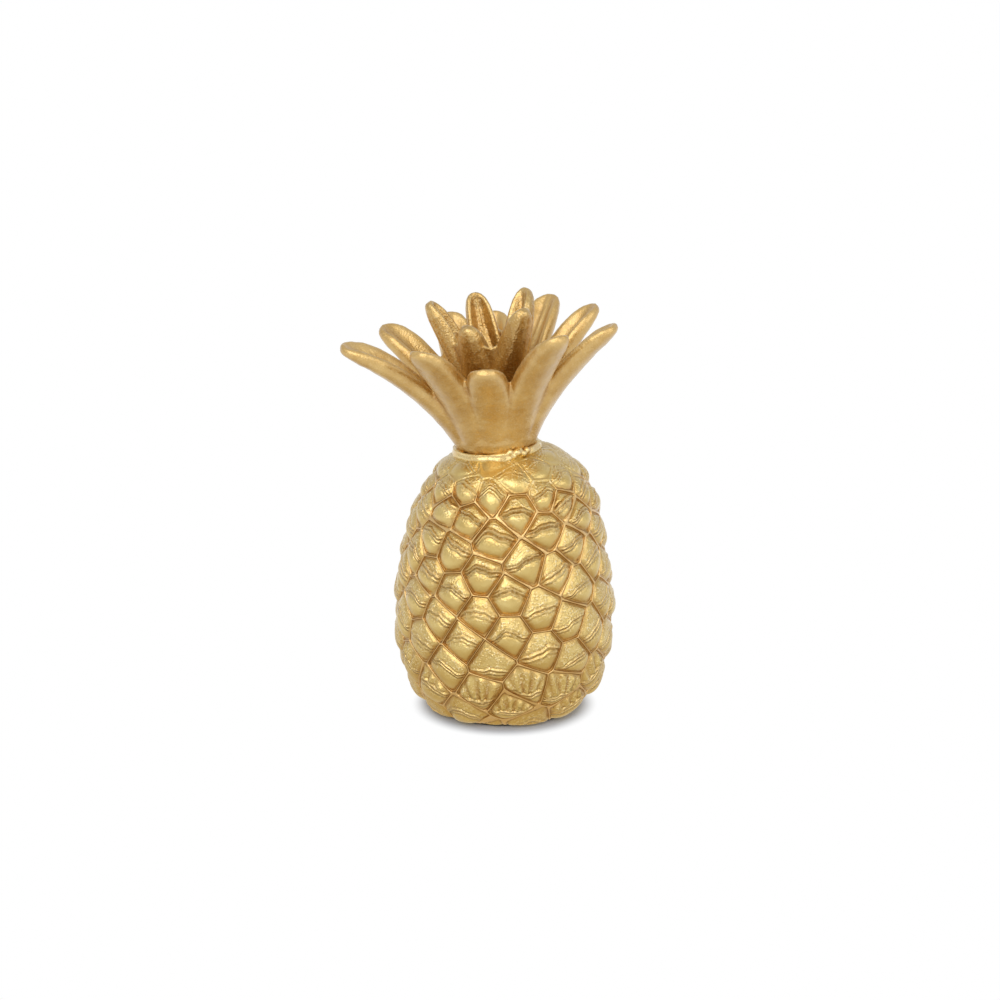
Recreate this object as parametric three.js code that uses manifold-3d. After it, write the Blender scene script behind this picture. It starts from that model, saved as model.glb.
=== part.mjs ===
// A gilded pineapple ornament, cast in aluminium and joined at the neck: a hollow body covered in
// spiralling eyes, an outer whorl of ten leaves on a funnel, and an inner whorl of five leaves that
// stands in the funnel. A screw from inside the body clamps both whorls, a bead of filler hides the
// seam, and a felt disc closes the base. Millimetres, +Z up, the table plane is z = 0, -Y is the front.
import * as THREE from "three";
import { ConvexHull } from "three/addons/math/ConvexHull.js";
import { mergeVertices } from "three/addons/utils/BufferGeometryUtils.js";
import Module from "manifold-3d";

const wasm = await Module();
wasm.setup();

// Body casting
const bodyHeight = 97.6; // table to the seat of the crown
const bodyRadius = 40.8; // over the crests of the eyes, at the widest place
const bodyWall = 4; // metal left under the grooves
const eyeRelief = 1.9; // crest of an eye to the bottom of its groove
const shoulderSway = 1.6; // the shoulder of the body sits this far to the right of its foot
const neckPlate = 8; // metal under the seat of the crown

// Pattern of eyes
const eyePitchBase = 16.5; // side of the square with the area of one eye, at the base
const eyePitchNeck = 9.5; // the same at the neck
const frontEyeHeight = 55; // centre of the eye that faces the front
const frontEyeAzimuth = THREE.MathUtils.degToRad(1.2);
const eyeTurn = THREE.MathUtils.degToRad(78); // turn from each eye to the next one up the spiral
const grooveStep = 6.4; // about the longest straight run of a groove
const cornerMerge = 2.2; // corners of eyes nearer than this become one
const lipStep = 0.5; // height of the lip that crosses each eye
const lipFall = 1.3; // distance down the eye over which the lip drops

// Neck joint
const crownOffset = 2.9; // the crown sits this far to the left of the body's axis
const crownLean = THREE.MathUtils.degToRad(4.5); // and leans to the left
const collarRadius = 14.2;
const spigotRadius = 8.5;
const spigotDepth = 3;
const stemRadius = 5;
const jointGap = 0.3; // room for paint and filler between pieces that touch
const beadRadius = 1.6;
const beadLumpRadius = 1.9;

// Crown, measured in its own leaning frame from the seat
const outerLeafReach = 53.4; // axis to the farthest outer tip
const outerLeafRise = 46; // seat to the highest outer tip
const outerLeafWidth = 15.4;
const innerLeafReach = 21.5;
const innerLeafRise = 53.2;
const innerLeafWidth = 11.6;
const leafThickness = 4.6;
const funnelRimRadius = 16.4;
const funnelRimHeight = 8.2;
const funnelFloor = 7; // seat to the floor that the inner whorl stands on
const funnelWall = 4;
const cupRootRadius = 7.4;
const cupRimRadius = 11.4;
const cupRimHeight = 41.5;
const cupWall = 3.4;
const cupFloor = 5;

// Fastening
const screwRadius = 2.5;
const screwHeadRadius = 4.75;
const screwHeadHeight = 3.6;
const screwReach = 9; // thread inside the stem of the inner whorl
const threadClearance = 0.15;
const screwHoleClearance = 0.5;
const driveRadius = 1.7;
const driveDepth = 2.2;
const washerRadius = 6;
const washerThickness = 1.2;
const springWasherWidth = 1.4;
const springWasherThickness = 1.3;
const springWasherSlit = 0.8;
const spotFaceClearance = 1.5;

// Felt
const feltThickness = 1.2;
const feltInset = 1.6; // the felt stays this far inside the body's edge

const overrun = 3; // how far a cutter runs past what it cuts
const shortestEdge = 0.06; // slivers that the cuts leave under this size are closed up
const roundSides = 36;

// Outline of the body from below the base, where it is cut flat, to over the neck
const bodyOutlineShares = [
  [0, -0.095],
  [0.22, -0.085],
  [0.5, -0.045],
  [0.7, 0],
  [0.78, 0.03],
  [0.866, 0.082],
  [0.935, 0.154],
  [0.983, 0.246],
  [1, 0.348],
  [0.988, 0.461],
  [0.953, 0.564],
  [0.905, 0.666],
  [0.85, 0.768],
  [0.735, 0.871],
  [0.615, 0.932],
  [0.48, 0.968],
  [0.405, 0.986],
  [0.35, 0.993],
  [0.2, 0.998],
  [0, 1],
];

// Eyes on the front that sit off the even spiral, as shares of the eye pitch to the right and up
const eyeShiftShares = new Map([
  [-55, [0.15, 0.2]],
  [-51, [0.2, -0.1]],
  [-46, [-0.05, -0.2]],
  [-42, [0.1, 0]],
  [-41, [-0.2, 0.1]],
  [-37, [-0.15, 0]],
  [-33, [0.2, 0.1]],
  [-32, [-0.25, -0.05]],
  [-28, [0, 0]],
  [-23, [-0.25, 0]],
  [-19, [0.15, 0]],
  [-18, [0, -0.05]],
  [-14, [-0.15, 0.05]],
  [-10, [0.15, -0.1]],
  [-9, [0.05, -0.1]],
  [-5, [0, 0.1]],
  [-4, [-0.25, 0.1]],
  [0, [0.05, -0.15]],
  [4, [-0.05, 0]],
  [5, [0, 0.15]],
  [9, [0.2, -0.1]],
  [14, [-0.05, 0]],
  [18, [0.1, 0]],
  [19, [0, 0.1]],
  [23, [-0.15, 0.23]],
  [27, [0.15, -0.3]],
  [28, [0, 0.16]],
  [32, [-0.15, 0.27]],
  [37, [-0.07, 0.33]],
  [41, [-0.25, -0.1]],
  [42, [0.23, 0.15]],
  [46, [-0.1, 0.27]],
  [51, [0.4, 0]],
  [55, [-0.3, -0.2]],
  [60, [0.1, 0]],
]);
const looseEyeShare = 0.1; // how far the other eyes stray
const poleShare = 0.22; // radius of the pole caps, under the base and the crown

// Tips of the outer leaves: degrees off their even places, then shares of the reach and the rise, how
// high each leaf arches before its tip, and the slope to which the leaf rolls round its midline
const outerTipShares = [
  [-3, 0.62, 0.77, 0.73, 0],
  [0, 0.83, 1, 0.74, 0],
  [0, 0.89, 0.95, 0.73, 0],
  [0, 0.78, 0.98, 0.74, 0],
  [0, 0.76, 0.99, 0.73, 0],
  [-4, 0.62, 0.89, 0.73, 0],
  [-8, 0.57, 0.94, 0.73, 0],
  [0, 0.75, 0.94, 0.78, -0.15],
  [0, 1, 0.95, 0.8, -0.22],
  [0, 0.77, 0.95, 0.75, 0],
];
// Tips of the inner leaves, the same way; the first stands to the left of the front
const innerTipShares = [
  [0, 0.5, 0.86, 0.72, 0],
  [-2, 1, 0.985, 0.72, 0],
  [18, 0.93, 1, 0.72, 0],
  [9, 0.7, 0.99, 0.72, 0],
  [4, 0.93, 1, 0.72, 0],
];
const innerLeafStart = THREE.MathUtils.degToRad(-30);

// Along a leaf: place, then width, thickness and depth of the channel as shares of the leaf's own
const leafStationShares = [
  [0, 0.78, 1, 1],
  [0.18, 0.88, 1, 1],
  [0.36, 0.98, 1, 1],
  [0.52, 1, 1, 1],
  [0.66, 0.98, 1, 1],
  [0.79, 0.96, 0.97, 0.9],
  [0.89, 0.9, 0.9, 0.6],
  [0.95, 0.75, 0.78, 0.2],
  [0.985, 0.52, 0.6, 0],
  [1, 0.24, 0.35, 0],
];
// Across a leaf: half width, then height over the midline as a share of the thickness. The under side
// is round and the upper side has a channel between two ridges.
const leafSectionShares = [
  [-1, 0.12],
  [-0.7, -0.74],
  [0, -1],
  [0.7, -0.74],
  [1, 0.12],
  [0.74, 0.66],
  [0.4, 0.48],
  [0, -0.1],
  [-0.4, 0.48],
  [-0.74, 0.66],
];

// Turns a geometry into a solid that can be joined and cut.
function solid(geometry) {
  const bare = geometry.clone();
  bare.deleteAttribute("normal");
  bare.deleteAttribute("uv");
  const merged = mergeVertices(bare, 1e-4);
  const corners = merged.index.array;
  const kept = [];
  for (let i = 0; i < corners.length; i += 3) {
    const [a, b, c] = [corners[i], corners[i + 1], corners[i + 2]];
    if (a !== b && b !== c && c !== a) kept.push(a, b, c);
  }
  return new wasm.Manifold(
    new wasm.Mesh({
      numProp: 3,
      vertProperties: new Float32Array(merged.attributes.position.array),
      triVerts: new Uint32Array(kept),
    }),
  );
}

// Turns a solid back into a geometry for a mesh.
function geometryOf(shape) {
  const mesh = shape.getMesh();
  const geometry = new THREE.BufferGeometry();
  geometry.setAttribute("position", new THREE.BufferAttribute(mesh.vertProperties.slice(), 3));
  geometry.setIndex(new THREE.BufferAttribute(mesh.triVerts.slice(), 1));
  geometry.computeVertexNormals();
  return geometry;
}

// Geometry from a list of points and a list of triangles.
function geometryFrom(points, triangles) {
  const geometry = new THREE.BufferGeometry();
  const flat = points.flatMap((p) => [p.x, p.y, p.z]);
  geometry.setAttribute("position", new THREE.Float32BufferAttribute(flat, 3));
  geometry.setIndex(triangles);
  return geometry;
}

// A solid of revolution about Z from [radius, height] points that run from the bottom up.
function revolved(outline, sides = roundSides) {
  const points = outline.map(([radius, height]) => new THREE.Vector2(radius, height));
  const geometry = new THREE.LatheGeometry(points, sides);
  geometry.rotateX(Math.PI / 2);
  return solid(geometry);
}

// A plain round bar along Z between two heights.
function bar(radius, from, to, sides = roundSides) {
  return revolved([[0, from], [radius, from], [radius, to], [0, to]], sides);
}

// The frame of the crown, leaning to the left on the seat.
function crownMatrix() {
  const turn = new THREE.Matrix4().makeRotationY(-crownLean);
  return turn.setPosition(-crownOffset, 0, bodyHeight);
}

// Moves a solid made in the crown's frame to the body's.
function toBody(shape) {
  return shape.transform(crownMatrix().elements);
}

// Body surface: a profile that is read by its conformal reach, so that round eyes stay round

const profile = makeProfile();

function makeProfile() {
  const points = bodyOutlineShares.map(
    ([out, up]) => new THREE.Vector2(out * bodyRadius, up * bodyHeight),
  );
  const samples = new THREE.SplineCurve(points).getSpacedPoints(900);
  const rows = [];
  let reach = 0;
  let length = 0;
  samples.slice(1, -1).forEach((point, i, list) => {
    const before = list[Math.max(i - 1, 0)];
    const step = point.distanceTo(before);
    length += step;
    reach += (2 * step) / (point.x + before.x);
    rows.push({ radius: point.x, height: point.y, reach, length });
  });
  const widest = rows.reduce((best, row) => (row.radius > best.radius ? row : best)).reach;
  rows.forEach((row) => (row.reach -= widest));
  return rows;
}

// The row of the profile at a value of one of its columns, between two samples.
function profileAt(column, value) {
  let low = 0;
  let high = profile.length - 1;
  while (high - low > 1) {
    const mid = (low + high) >> 1;
    if (profile[mid][column] <= value) low = mid;
    else high = mid;
  }
  const [a, b] = [profile[low], profile[high]];
  const t = THREE.MathUtils.clamp((value - a[column]) / (b[column] - a[column]), 0, 1);
  const row = { slope: new THREE.Vector2(b.radius - a.radius, b.height - a.height).normalize() };
  for (const key of ["radius", "height", "reach", "length"]) row[key] = a[key] + t * (b[key] - a[key]);
  return row;
}

// A direction on the unit sphere that stands for a place on the body.
function onSphere(azimuth, reach) {
  const flat = 1 / Math.cosh(reach);
  return new THREE.Vector3(Math.sin(azimuth) * flat, -Math.cos(azimuth) * flat, Math.tanh(reach));
}

// The place on the body that a direction stands for.
function fromSphere(direction) {
  const azimuth = Math.atan2(direction.x, -direction.y);
  const limit = 1 - 1e-9;
  return { azimuth, reach: Math.atanh(THREE.MathUtils.clamp(direction.z, -limit, limit)) };
}

// How far the body has swayed to the right at a height.
function swayAt(height) {
  return shoulderSway * THREE.MathUtils.smoothstep(height, bodyHeight * 0.6, bodyHeight * 0.9);
}

// A point of the body, raised from its outline by a height that may be negative.
function bodyPoint(azimuth, reach, raised) {
  const row = profileAt("reach", reach);
  const radius = Math.max(row.radius + row.slope.y * raised, 0);
  const height = row.height - row.slope.x * raised;
  const side = Math.sin(azimuth) * radius + swayAt(height);
  return new THREE.Vector3(side, -Math.cos(azimuth) * radius, height);
}

// The difference of two azimuths, between minus and plus half a turn.
function turnBetween(from, to) {
  const full = 2 * Math.PI;
  return THREE.MathUtils.euclideanModulo(to - from + Math.PI, full) - Math.PI;
}

// Centres of the eyes: each next eye is one turn round and one eye's area up. The two poles, which the
// base and the crown cut away, have an eye each.
function eyeCentres() {
  const total = profile[profile.length - 1].length;
  const count = [0];
  const areaAt = (length) =>
    THREE.MathUtils.lerp(eyePitchBase ** 2, eyePitchNeck ** 2, length / total);
  for (let i = 1; i < profile.length; i++) {
    const row = profile[i];
    const step = row.length - profile[i - 1].length;
    count.push(count[i - 1] + (2 * Math.PI * row.radius * step) / areaAt(row.length));
  }
  const lengthAt = (wanted) => {
    const i = Math.max(count.findIndex((value) => value >= wanted), 1);
    const t = (wanted - count[i - 1]) / (count[i] - count[i - 1]);
    return THREE.MathUtils.lerp(profile[i - 1].length, profile[i].length, t);
  };
  const front = profile.findIndex((row) => row.height >= frontEyeHeight);
  const pole = (side, row) => ({ pole: side, azimuth: 0, reach: row.reach, radius: 0 });
  const eyes = [pole(-1, profile[0]), pole(1, profile[profile.length - 1])];
  const first = Math.ceil(-count[front] + 0.5);
  const last = Math.floor(count[count.length - 1] - count[front] - 0.5);
  for (let n = first; n <= last; n++) {
    const length = lengthAt(count[front] + n);
    const pitch = Math.sqrt(areaAt(length));
    const stray = [Math.sin(2.4 * n + 1) * looseEyeShare, Math.sin(1.7 * n + 2) * looseEyeShare];
    const [right, up] = eyeShiftShares.get(n) ?? stray;
    const row = profileAt("length", length + up * pitch);
    const azimuth = frontEyeAzimuth + n * eyeTurn + (right * pitch) / row.radius;
    if (row.radius < poleShare * bodyRadius) continue;
    eyes.push({ azimuth, reach: row.reach, radius: row.radius });
  }
  return eyes;
}

// The net of triangles that joins neighbouring directions on the sphere, with their normals.
function netOver(directions) {
  const index = new Map(directions.map((direction, i) => [direction, i]));
  const hull = new ConvexHull().setFromPoints(directions);
  return hull.faces.map(({ edge, normal }) => {
    const corners = [edge.head().point, edge.next.head().point, edge.prev.head().point];
    return { corners: corners.map((point) => index.get(point)), normal };
  });
}

// The place of a point in an eye's own flat frame, in millimetres right of and above its centre.
function inEye(eye, place) {
  const right = turnBetween(eye.azimuth, place.azimuth) * eye.radius;
  return { right, up: (place.reach - eye.reach) * eye.radius };
}

// The place on the body of a point in an eye's flat frame.
function outOfEye(eye, right, up) {
  return { azimuth: eye.azimuth + right / eye.radius, reach: eye.reach + up / eye.radius };
}

// Distance between two places on the body.
function distanceOnBody(a, b) {
  const radius = profileAt("reach", (a.reach + b.reach) / 2).radius;
  return radius * Math.hypot(turnBetween(a.azimuth, b.azimuth), a.reach - b.reach);
}

// Outlines of the eyes: every eye keeps the ground that is nearer to it than to any other, so the
// corners are the points that are as far from three eyes.
function eyeOutlines(eyes) {
  const net = netOver(eyes.map((eye) => onSphere(eye.azimuth, eye.reach)));
  const corners = [];
  const cornersOf = eyes.map(() => new Set());
  for (const triangle of net) {
    const place = fromSphere(triangle.normal);
    let id = corners.findIndex((corner) => distanceOnBody(corner, place) < cornerMerge);
    if (id < 0) id = corners.push(place) - 1;
    triangle.corners.forEach((eye) => cornersOf[eye].add(id));
  }
  const outlines = eyes.map((eye, i) => {
    const angle = (id) => {
      if (eye.pole) return eye.pole * corners[id].azimuth;
      const local = inEye(eye, corners[id]);
      return Math.atan2(local.up, local.right);
    };
    return [...cornersOf[i]].sort((a, b) => angle(a) - angle(b));
  });
  return { corners, outlines };
}

// Relief shrinks to half on the smooth shoulder round the neck.
function reliefAt(reach) {
  const height = profileAt("reach", reach).height / bodyHeight;
  return eyeRelief * (1 - 0.5 * THREE.MathUtils.smoothstep(height, 0.88, 0.98));
}

const shoulderShare = 0.8; // where an eye starts to round over into its groove
const shoulderDropShares = [0.5, 0.32]; // fall of that shoulder above and below the lip
const lipPlaceShare = 0.44; // height of the lip's ends in the eye
const lipPeakShare = 0.14; // rise of the lip's middle over its ends
const lipEndDropShare = 0.3; // fall of the lip's ends
const swellDropShare = 0.12; // fall of the middles of the facet and the belly

// The growing skin of the body: places, their points in space and triangles.
function newSkin() {
  const skin = { places: [], points: [], triangles: [] };
  skin.add = (place, raised) => {
    skin.places.push(place);
    skin.points.push(bodyPoint(place.azimuth, place.reach, raised));
    return skin.places.length - 1;
  };
  skin.fan = (middle, loop) => {
    loop.forEach((id, i) => skin.triangles.push(middle, id, loop[(i + 1) % loop.length]));
  };
  skin.strip = (upper, lower) => {
    for (let i = 0; i < upper.length - 1; i++) {
      skin.triangles.push(lower[i], lower[i + 1], upper[i + 1]);
      skin.triangles.push(lower[i], upper[i + 1], upper[i]);
    }
  };
  return skin;
}

// Gives each groove between two corners its points once, whichever eye asks first.
function grooveMaker(skin, cornerIds) {
  const known = new Map();
  return (a, b) => {
    const key = Math.min(a, b) + " " + Math.max(a, b);
    if (known.has(key)) return [...known.get(key)].reverse();
    const [from, to] = [skin.places[cornerIds[a]], skin.places[cornerIds[b]]];
    const pieces = Math.max(Math.round(distanceOnBody(from, to) / grooveStep), 1);
    const made = [];
    for (let i = 1; i < pieces; i++) {
      const azimuth = from.azimuth + (i / pieces) * turnBetween(from.azimuth, to.azimuth);
      const reach = THREE.MathUtils.lerp(from.reach, to.reach, i / pieces);
      made.push(skin.add({ azimuth, reach }, -reliefAt(reach)));
    }
    known.set(key, made);
    return made;
  };
}

// Fills one eye inside its ring of groove points: a shoulder, a facet that rises to a lip like a
// drawn bow, the small step under the lip, and a round belly.
function fillEye(skin, eye, ring) {
  const relief = reliefAt(eye.reach);
  const outline = ring.map((id) => inEye(eye, skin.places[id]));
  const heights = outline.map((point) => point.up);
  const [low, high] = [Math.min(...heights), Math.max(...heights)];
  const lipUp = low + lipPlaceShare * (high - low);
  const shoulder = outline.map(({ right, up }) => {
    return { right: right * shoulderShare, up: up * shoulderShare };
  });
  const nearestOn = (side) =>
    shoulder.reduce((best, point, i) => {
      const far = (at) => (shoulder[at].right * side > 0 ? Math.abs(shoulder[at].up - lipUp) : Infinity);
      return far(i) < far(best) ? i : best;
    }, 0);
  const [rightEnd, leftEnd] = [nearestOn(1), nearestOn(-1)];
  const add = (right, up, drop) => skin.add(outOfEye(eye, right, up), -drop);
  const edge = shoulder.map((point, i) => {
    if (i === rightEnd || i === leftEnd) return add(point.right, lipUp, relief * lipEndDropShare);
    return add(point.right, point.up, relief * shoulderDropShares[point.up > lipUp ? 0 : 1]);
  });
  skin.strip([...edge, edge[0]], [...ring, ring[0]]);
  const row = (shares, fall, drop) =>
    shares.map((share) => {
      const right = share * (share < 0 ? -shoulder[leftEnd].right : shoulder[rightEnd].right);
      const bow = lipPeakShare * (high - low) * Math.cos((share * Math.PI) / 2);
      return add(right, lipUp + bow - fall, drop + relief * lipEndDropShare * share ** 2);
    });
  const lip = row([-0.55, 0, 0.55], 0, 0);
  const foot = row([-0.5, 0, 0.5], lipFall, lipStep);
  skin.strip([edge[leftEnd], ...lip, edge[rightEnd]], [edge[leftEnd], ...foot, edge[rightEnd]]);
  const arc = (from, to) => {
    const ids = [];
    for (let i = from; i !== to; i = (i + 1) % edge.length) ids.push(edge[i]);
    return [...ids, edge[to]];
  };
  const facetUp = (lipUp + lipPeakShare * (high - low) + high * shoulderShare) / 2;
  const facet = add(0, facetUp, relief * swellDropShare);
  const bellyUp = low + (lipUp - lipFall - low) * shoulderShare ** 3;
  const belly = add(0, bellyUp, relief * swellDropShare + lipStep / 2);
  skin.fan(facet, [...arc(rightEnd, leftEnd), ...lip]);
  skin.fan(belly, [...arc(leftEnd, rightEnd), ...foot.reverse()]);
}

// The whole skin of the body, all eyes in one closed surface.
function bodySkin() {
  const eyes = eyeCentres();
  const { corners, outlines } = eyeOutlines(eyes);
  const skin = newSkin();
  const cornerIds = corners.map((corner) => skin.add(corner, -reliefAt(corner.reach)));
  const groove = grooveMaker(skin, cornerIds);
  eyes.forEach((eye, i) => {
    const ids = outlines[i];
    const ring = ids.flatMap((id, k) => [cornerIds[id], ...groove(id, ids[(k + 1) % ids.length])]);
    if (eye.pole) skin.fan(skin.add(eye, 0), ring);
    else fillEye(skin, eye, ring);
  });
  return solid(geometryFrom(skin.points, skin.triangles));
}

// Everything above a level, as a cutter wider than the whole ornament.
function slabAbove(level) {
  const side = 2 * (Math.max(bodyRadius, outerLeafReach) + outerLeafWidth);
  const height = bodyHeight + outerLeafRise;
  const box = new THREE.BoxGeometry(side, side, height);
  box.translate(0, 0, level + height / 2);
  return solid(box);
}

// The hollow inside the body, an even wall in from the grooves and open at the base, where the casting
// core came out.
function bodyHollow() {
  const inset = bodyWall + eyeRelief;
  const ceiling = bodyHeight - neckPlate;
  const rows = 6;
  const sides = 16;
  const mouthRadius = profileAt("height", feltThickness).radius - inset;
  const outline = [[0, -overrun], [mouthRadius, -overrun]];
  for (let i = 0; i <= rows; i++) {
    const height = THREE.MathUtils.lerp(feltThickness, ceiling - bodyWall, i / rows);
    outline.push([profileAt("height", height).radius - inset, height]);
  }
  const mouth = outline[outline.length - 1][0];
  outline.push([mouth - bodyWall, ceiling]);
  outline.push([0, ceiling]);
  return revolved(outline, sides);
}

// Body casting: eyes outside, hollow inside, open at the base and with a socket for the crown.
function bodyCasting() {
  let shape = bodySkin().intersect(slabAbove(feltThickness));
  shape = shape.subtract(bodyHollow());
  const seat = bar(collarRadius + jointGap, 0, overrun * 2);
  const socket = bar(spigotRadius + jointGap, -spigotDepth - jointGap, overrun);
  const hole = bar(screwRadius + screwHoleClearance, -neckPlate - overrun * 2, overrun);
  const spotFace = bar(washerRadius + spotFaceClearance, -neckPlate - overrun * 2, -neckPlate);
  for (const cutter of [seat, socket, hole, spotFace]) shape = shape.subtract(toBody(cutter));
  return shape.simplify(shortestEdge);
}

// How much the upper side of a leaf loses where its channel has run out into a round tip.
function channelFill(across, over) {
  return over > -0.2 && Math.abs(across) < 1 ? over - 0.5 * (1 - across ** 2) - 0.2 : 0;
}

// One leaf, lofted along an arched midline in the upright plane of its azimuth.
function leaf({ azimuth, tipAzimuth, root, tip, arch, roll, width }) {
  const rise = tip.y - root.y;
  const midline = new THREE.CubicBezierCurve(
    root,
    new THREE.Vector2(root.x + (tip.x - root.x) * 0.1, root.y + rise * 0.25),
    new THREE.Vector2(tip.x * 0.575, tip.y * arch),
    tip,
  );
  const points = [];
  const triangles = [];
  const sides = leafSectionShares.length;
  leafStationShares.forEach(([along, wide, thick, channel]) => {
    const centre = midline.getPoint(along);
    const ahead = midline.getTangent(along);
    const turn = azimuth + turnBetween(azimuth, tipAzimuth) * along ** 2;
    const outward = new THREE.Vector3(Math.sin(turn), -Math.cos(turn), 0);
    const across = new THREE.Vector3(Math.cos(turn), Math.sin(turn), 0);
    for (const [a, n] of leafSectionShares) {
      const side = (a * wide * width) / 2;
      const filled = n - (1 - channel) * channelFill(a, n);
      const over = filled * thick * leafThickness + side * roll * along;
      const point = outward.clone().multiplyScalar(centre.x - ahead.y * over);
      point.addScaledVector(across, side);
      point.z = centre.y + ahead.x * over;
      points.push(point);
    }
  });
  const rows = leafStationShares.length;
  for (let row = 0; row < rows - 1; row++) {
    for (let side = 0; side < sides; side++) {
      const a = row * sides + side;
      const b = row * sides + ((side + 1) % sides);
      triangles.push(a, b, a + sides, b, b + sides, a + sides);
    }
  }
  for (const [row, flip] of [[0, false], [rows - 1, true]]) {
    const ring = points.slice(row * sides, (row + 1) * sides);
    const centre = ring.reduce((sum, point) => sum.add(point), new THREE.Vector3()).divideScalar(sides);
    const middle = points.push(centre) - 1;
    for (let side = 0; side < sides; side++) {
      const a = row * sides + side;
      const b = row * sides + ((side + 1) % sides);
      triangles.push(...(flip ? [a, b, middle] : [b, a, middle]));
    }
  }
  return solid(geometryFrom(points, triangles));
}

// A whorl of leaves at even steps of azimuth, joined to the wall that carries them.
function withLeaves(wall, tips, { start, reach, rise, width, root }) {
  return tips.reduce((shape, [offTurn, out, up, arch, roll], i) => {
    const azimuth = start + (i * 2 * Math.PI) / tips.length;
    const tip = new THREE.Vector2(out * reach, up * rise);
    const tipAzimuth = azimuth + THREE.MathUtils.degToRad(offTurn);
    return shape.add(leaf({ azimuth, tipAzimuth, root, tip, arch, roll, width }));
  }, wall);
}

// Outer whorl: collar, funnel and ten leaves in one casting, with a spigot under the collar.
function outerWhorl() {
  const foot = jointGap;
  const funnel = revolved([
    [0, foot],
    [collarRadius, foot],
    [collarRadius * 1.1, funnelRimHeight * 0.45],
    [funnelRimRadius, funnelRimHeight],
    [funnelRimRadius - funnelWall, funnelRimHeight],
    [cupRootRadius + funnelWall, funnelFloor + funnelWall / 4],
    [cupRootRadius + funnelWall / 2, funnelFloor],
    [0, funnelFloor],
  ], 30);
  const whorl = withLeaves(funnel, outerTipShares, {
    start: 0,
    reach: outerLeafReach,
    rise: outerLeafRise,
    width: outerLeafWidth,
    root: new THREE.Vector2(collarRadius - leafThickness, foot),
  });
  return whorl
    .intersect(slabAbove(foot))
    .add(bar(spigotRadius, foot - spigotDepth, funnelFloor))
    .subtract(bar(stemRadius + jointGap, -spigotDepth - overrun, funnelFloor + overrun))
    .simplify(shortestEdge);
}

// Inner whorl: a cup of five leaves on a stem that passes through the funnel and takes the screw.
function innerWhorl() {
  const foot = funnelFloor + jointGap;
  const stemEnd = -spigotDepth + jointGap;
  const cup = revolved([
    [0, stemEnd],
    [stemRadius, stemEnd],
    [stemRadius, foot],
    [cupRootRadius, foot],
    [cupRootRadius * 1.12, cupRimHeight * 0.5],
    [cupRimRadius, cupRimHeight],
    [cupRimRadius - cupWall, cupRimHeight],
    [cupRootRadius - cupWall, foot + cupFloor],
    [0, foot + cupFloor],
  ], 28);
  const whorl = withLeaves(cup, innerTipShares, {
    start: innerLeafStart,
    reach: innerLeafReach,
    rise: innerLeafRise,
    width: innerLeafWidth,
    root: new THREE.Vector2(cupRootRadius * 0.85, cupRimHeight * 0.4),
  });
  const threadEnd = stemEnd + screwReach + screwRadius / 2;
  const thread = bar(screwRadius + threadClearance, stemEnd - overrun, threadEnd, 24);
  return whorl.subtract(thread).simplify(shortestEdge);
}

const beadSinkShare = 0.25; // the bead lies a little under the seam
const beadBoreShare = 1.05; // bore of the bead, which clears the roots of the leaves
const beadFlareShare = 0.5; // and opens upwards with them

// The uneven ring of filler round the seam, before the metal on both sides is cut away.
function beadRing() {
  const steps = 32;
  const sides = 6;
  const points = [];
  const triangles = [];
  for (let i = 0; i < steps; i++) {
    const turn = (i * 2 * Math.PI) / steps;
    const swell = 1 + 0.12 * Math.sin(5 * turn + 1) + 0.1 * Math.sin(9 * turn);
    const reach = collarRadius + beadRadius * (0.55 + 0.12 * Math.sin(7 * turn));
    for (let side = 0; side < sides; side++) {
      const angle = (side * 2 * Math.PI) / sides;
      const out = reach + Math.cos(angle) * beadRadius * swell;
      const up = (Math.sin(angle) * swell - beadSinkShare) * beadRadius;
      points.push(new THREE.Vector3(Math.sin(turn) * out, -Math.cos(turn) * out, up));
      const next = (i + 1) % steps;
      const [a, b] = [i * sides + side, i * sides + ((side + 1) % sides)];
      const [c, d] = [next * sides + side, next * sides + ((side + 1) % sides)];
      triangles.push(a, c, b, b, c, d);
    }
  }
  return solid(geometryFrom(points, triangles));
}

// Lumps of filler at the front right, as azimuths in degrees and shares of the lump's own radius.
const beadLumpShares = [
  [20, 0.8, 0],
  [33, 1, 0.2],
  [45, 0.85, -0.3],
  [58, 0.95, 0.1],
  [74, 0.9, -0.2],
  [92, 1, -0.1],
];

// The top of the body without its relief, grown by a margin.
function bodyNeck(margin) {
  const rows = 12;
  const bottom = profileAt("height", bodyHeight - neckPlate);
  const top = profile[profile.length - 1];
  const outline = [[0, bottom.height]];
  for (let i = 0; i < rows; i++) {
    const row = profileAt("length", THREE.MathUtils.lerp(bottom.length, top.length, i / rows));
    outline.push([row.radius + row.slope.y * margin, row.height - row.slope.x * margin]);
  }
  outline.push([0, top.height + margin]);
  return revolved(outline).translate([shoulderSway, 0, 0]);
}

// Bead of filler, cut to leave the roots of the leaves and the body free.
function neckBead() {
  let bead = beadRing();
  for (const [degrees, size, up] of beadLumpShares) {
    const turn = THREE.MathUtils.degToRad(degrees);
    const radius = beadLumpRadius * size;
    const lump = new THREE.IcosahedronGeometry(radius, 1);
    const reach = collarRadius + radius * 0.7;
    lump.translate(Math.sin(turn) * reach, -Math.cos(turn) * reach, radius * up);
    bead = bead.add(solid(lump));
  }
  const inner = collarRadius * beadBoreShare;
  const flare = revolved([
    [0, -overrun],
    [inner, -overrun],
    [inner, 0],
    [inner + overrun * beadFlareShare, overrun],
    [0, overrun],
  ]);
  const toCrown = crownMatrix().invert().elements;
  return bead.subtract(flare).subtract(bodyNeck(jointGap).transform(toCrown));
}

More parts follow.
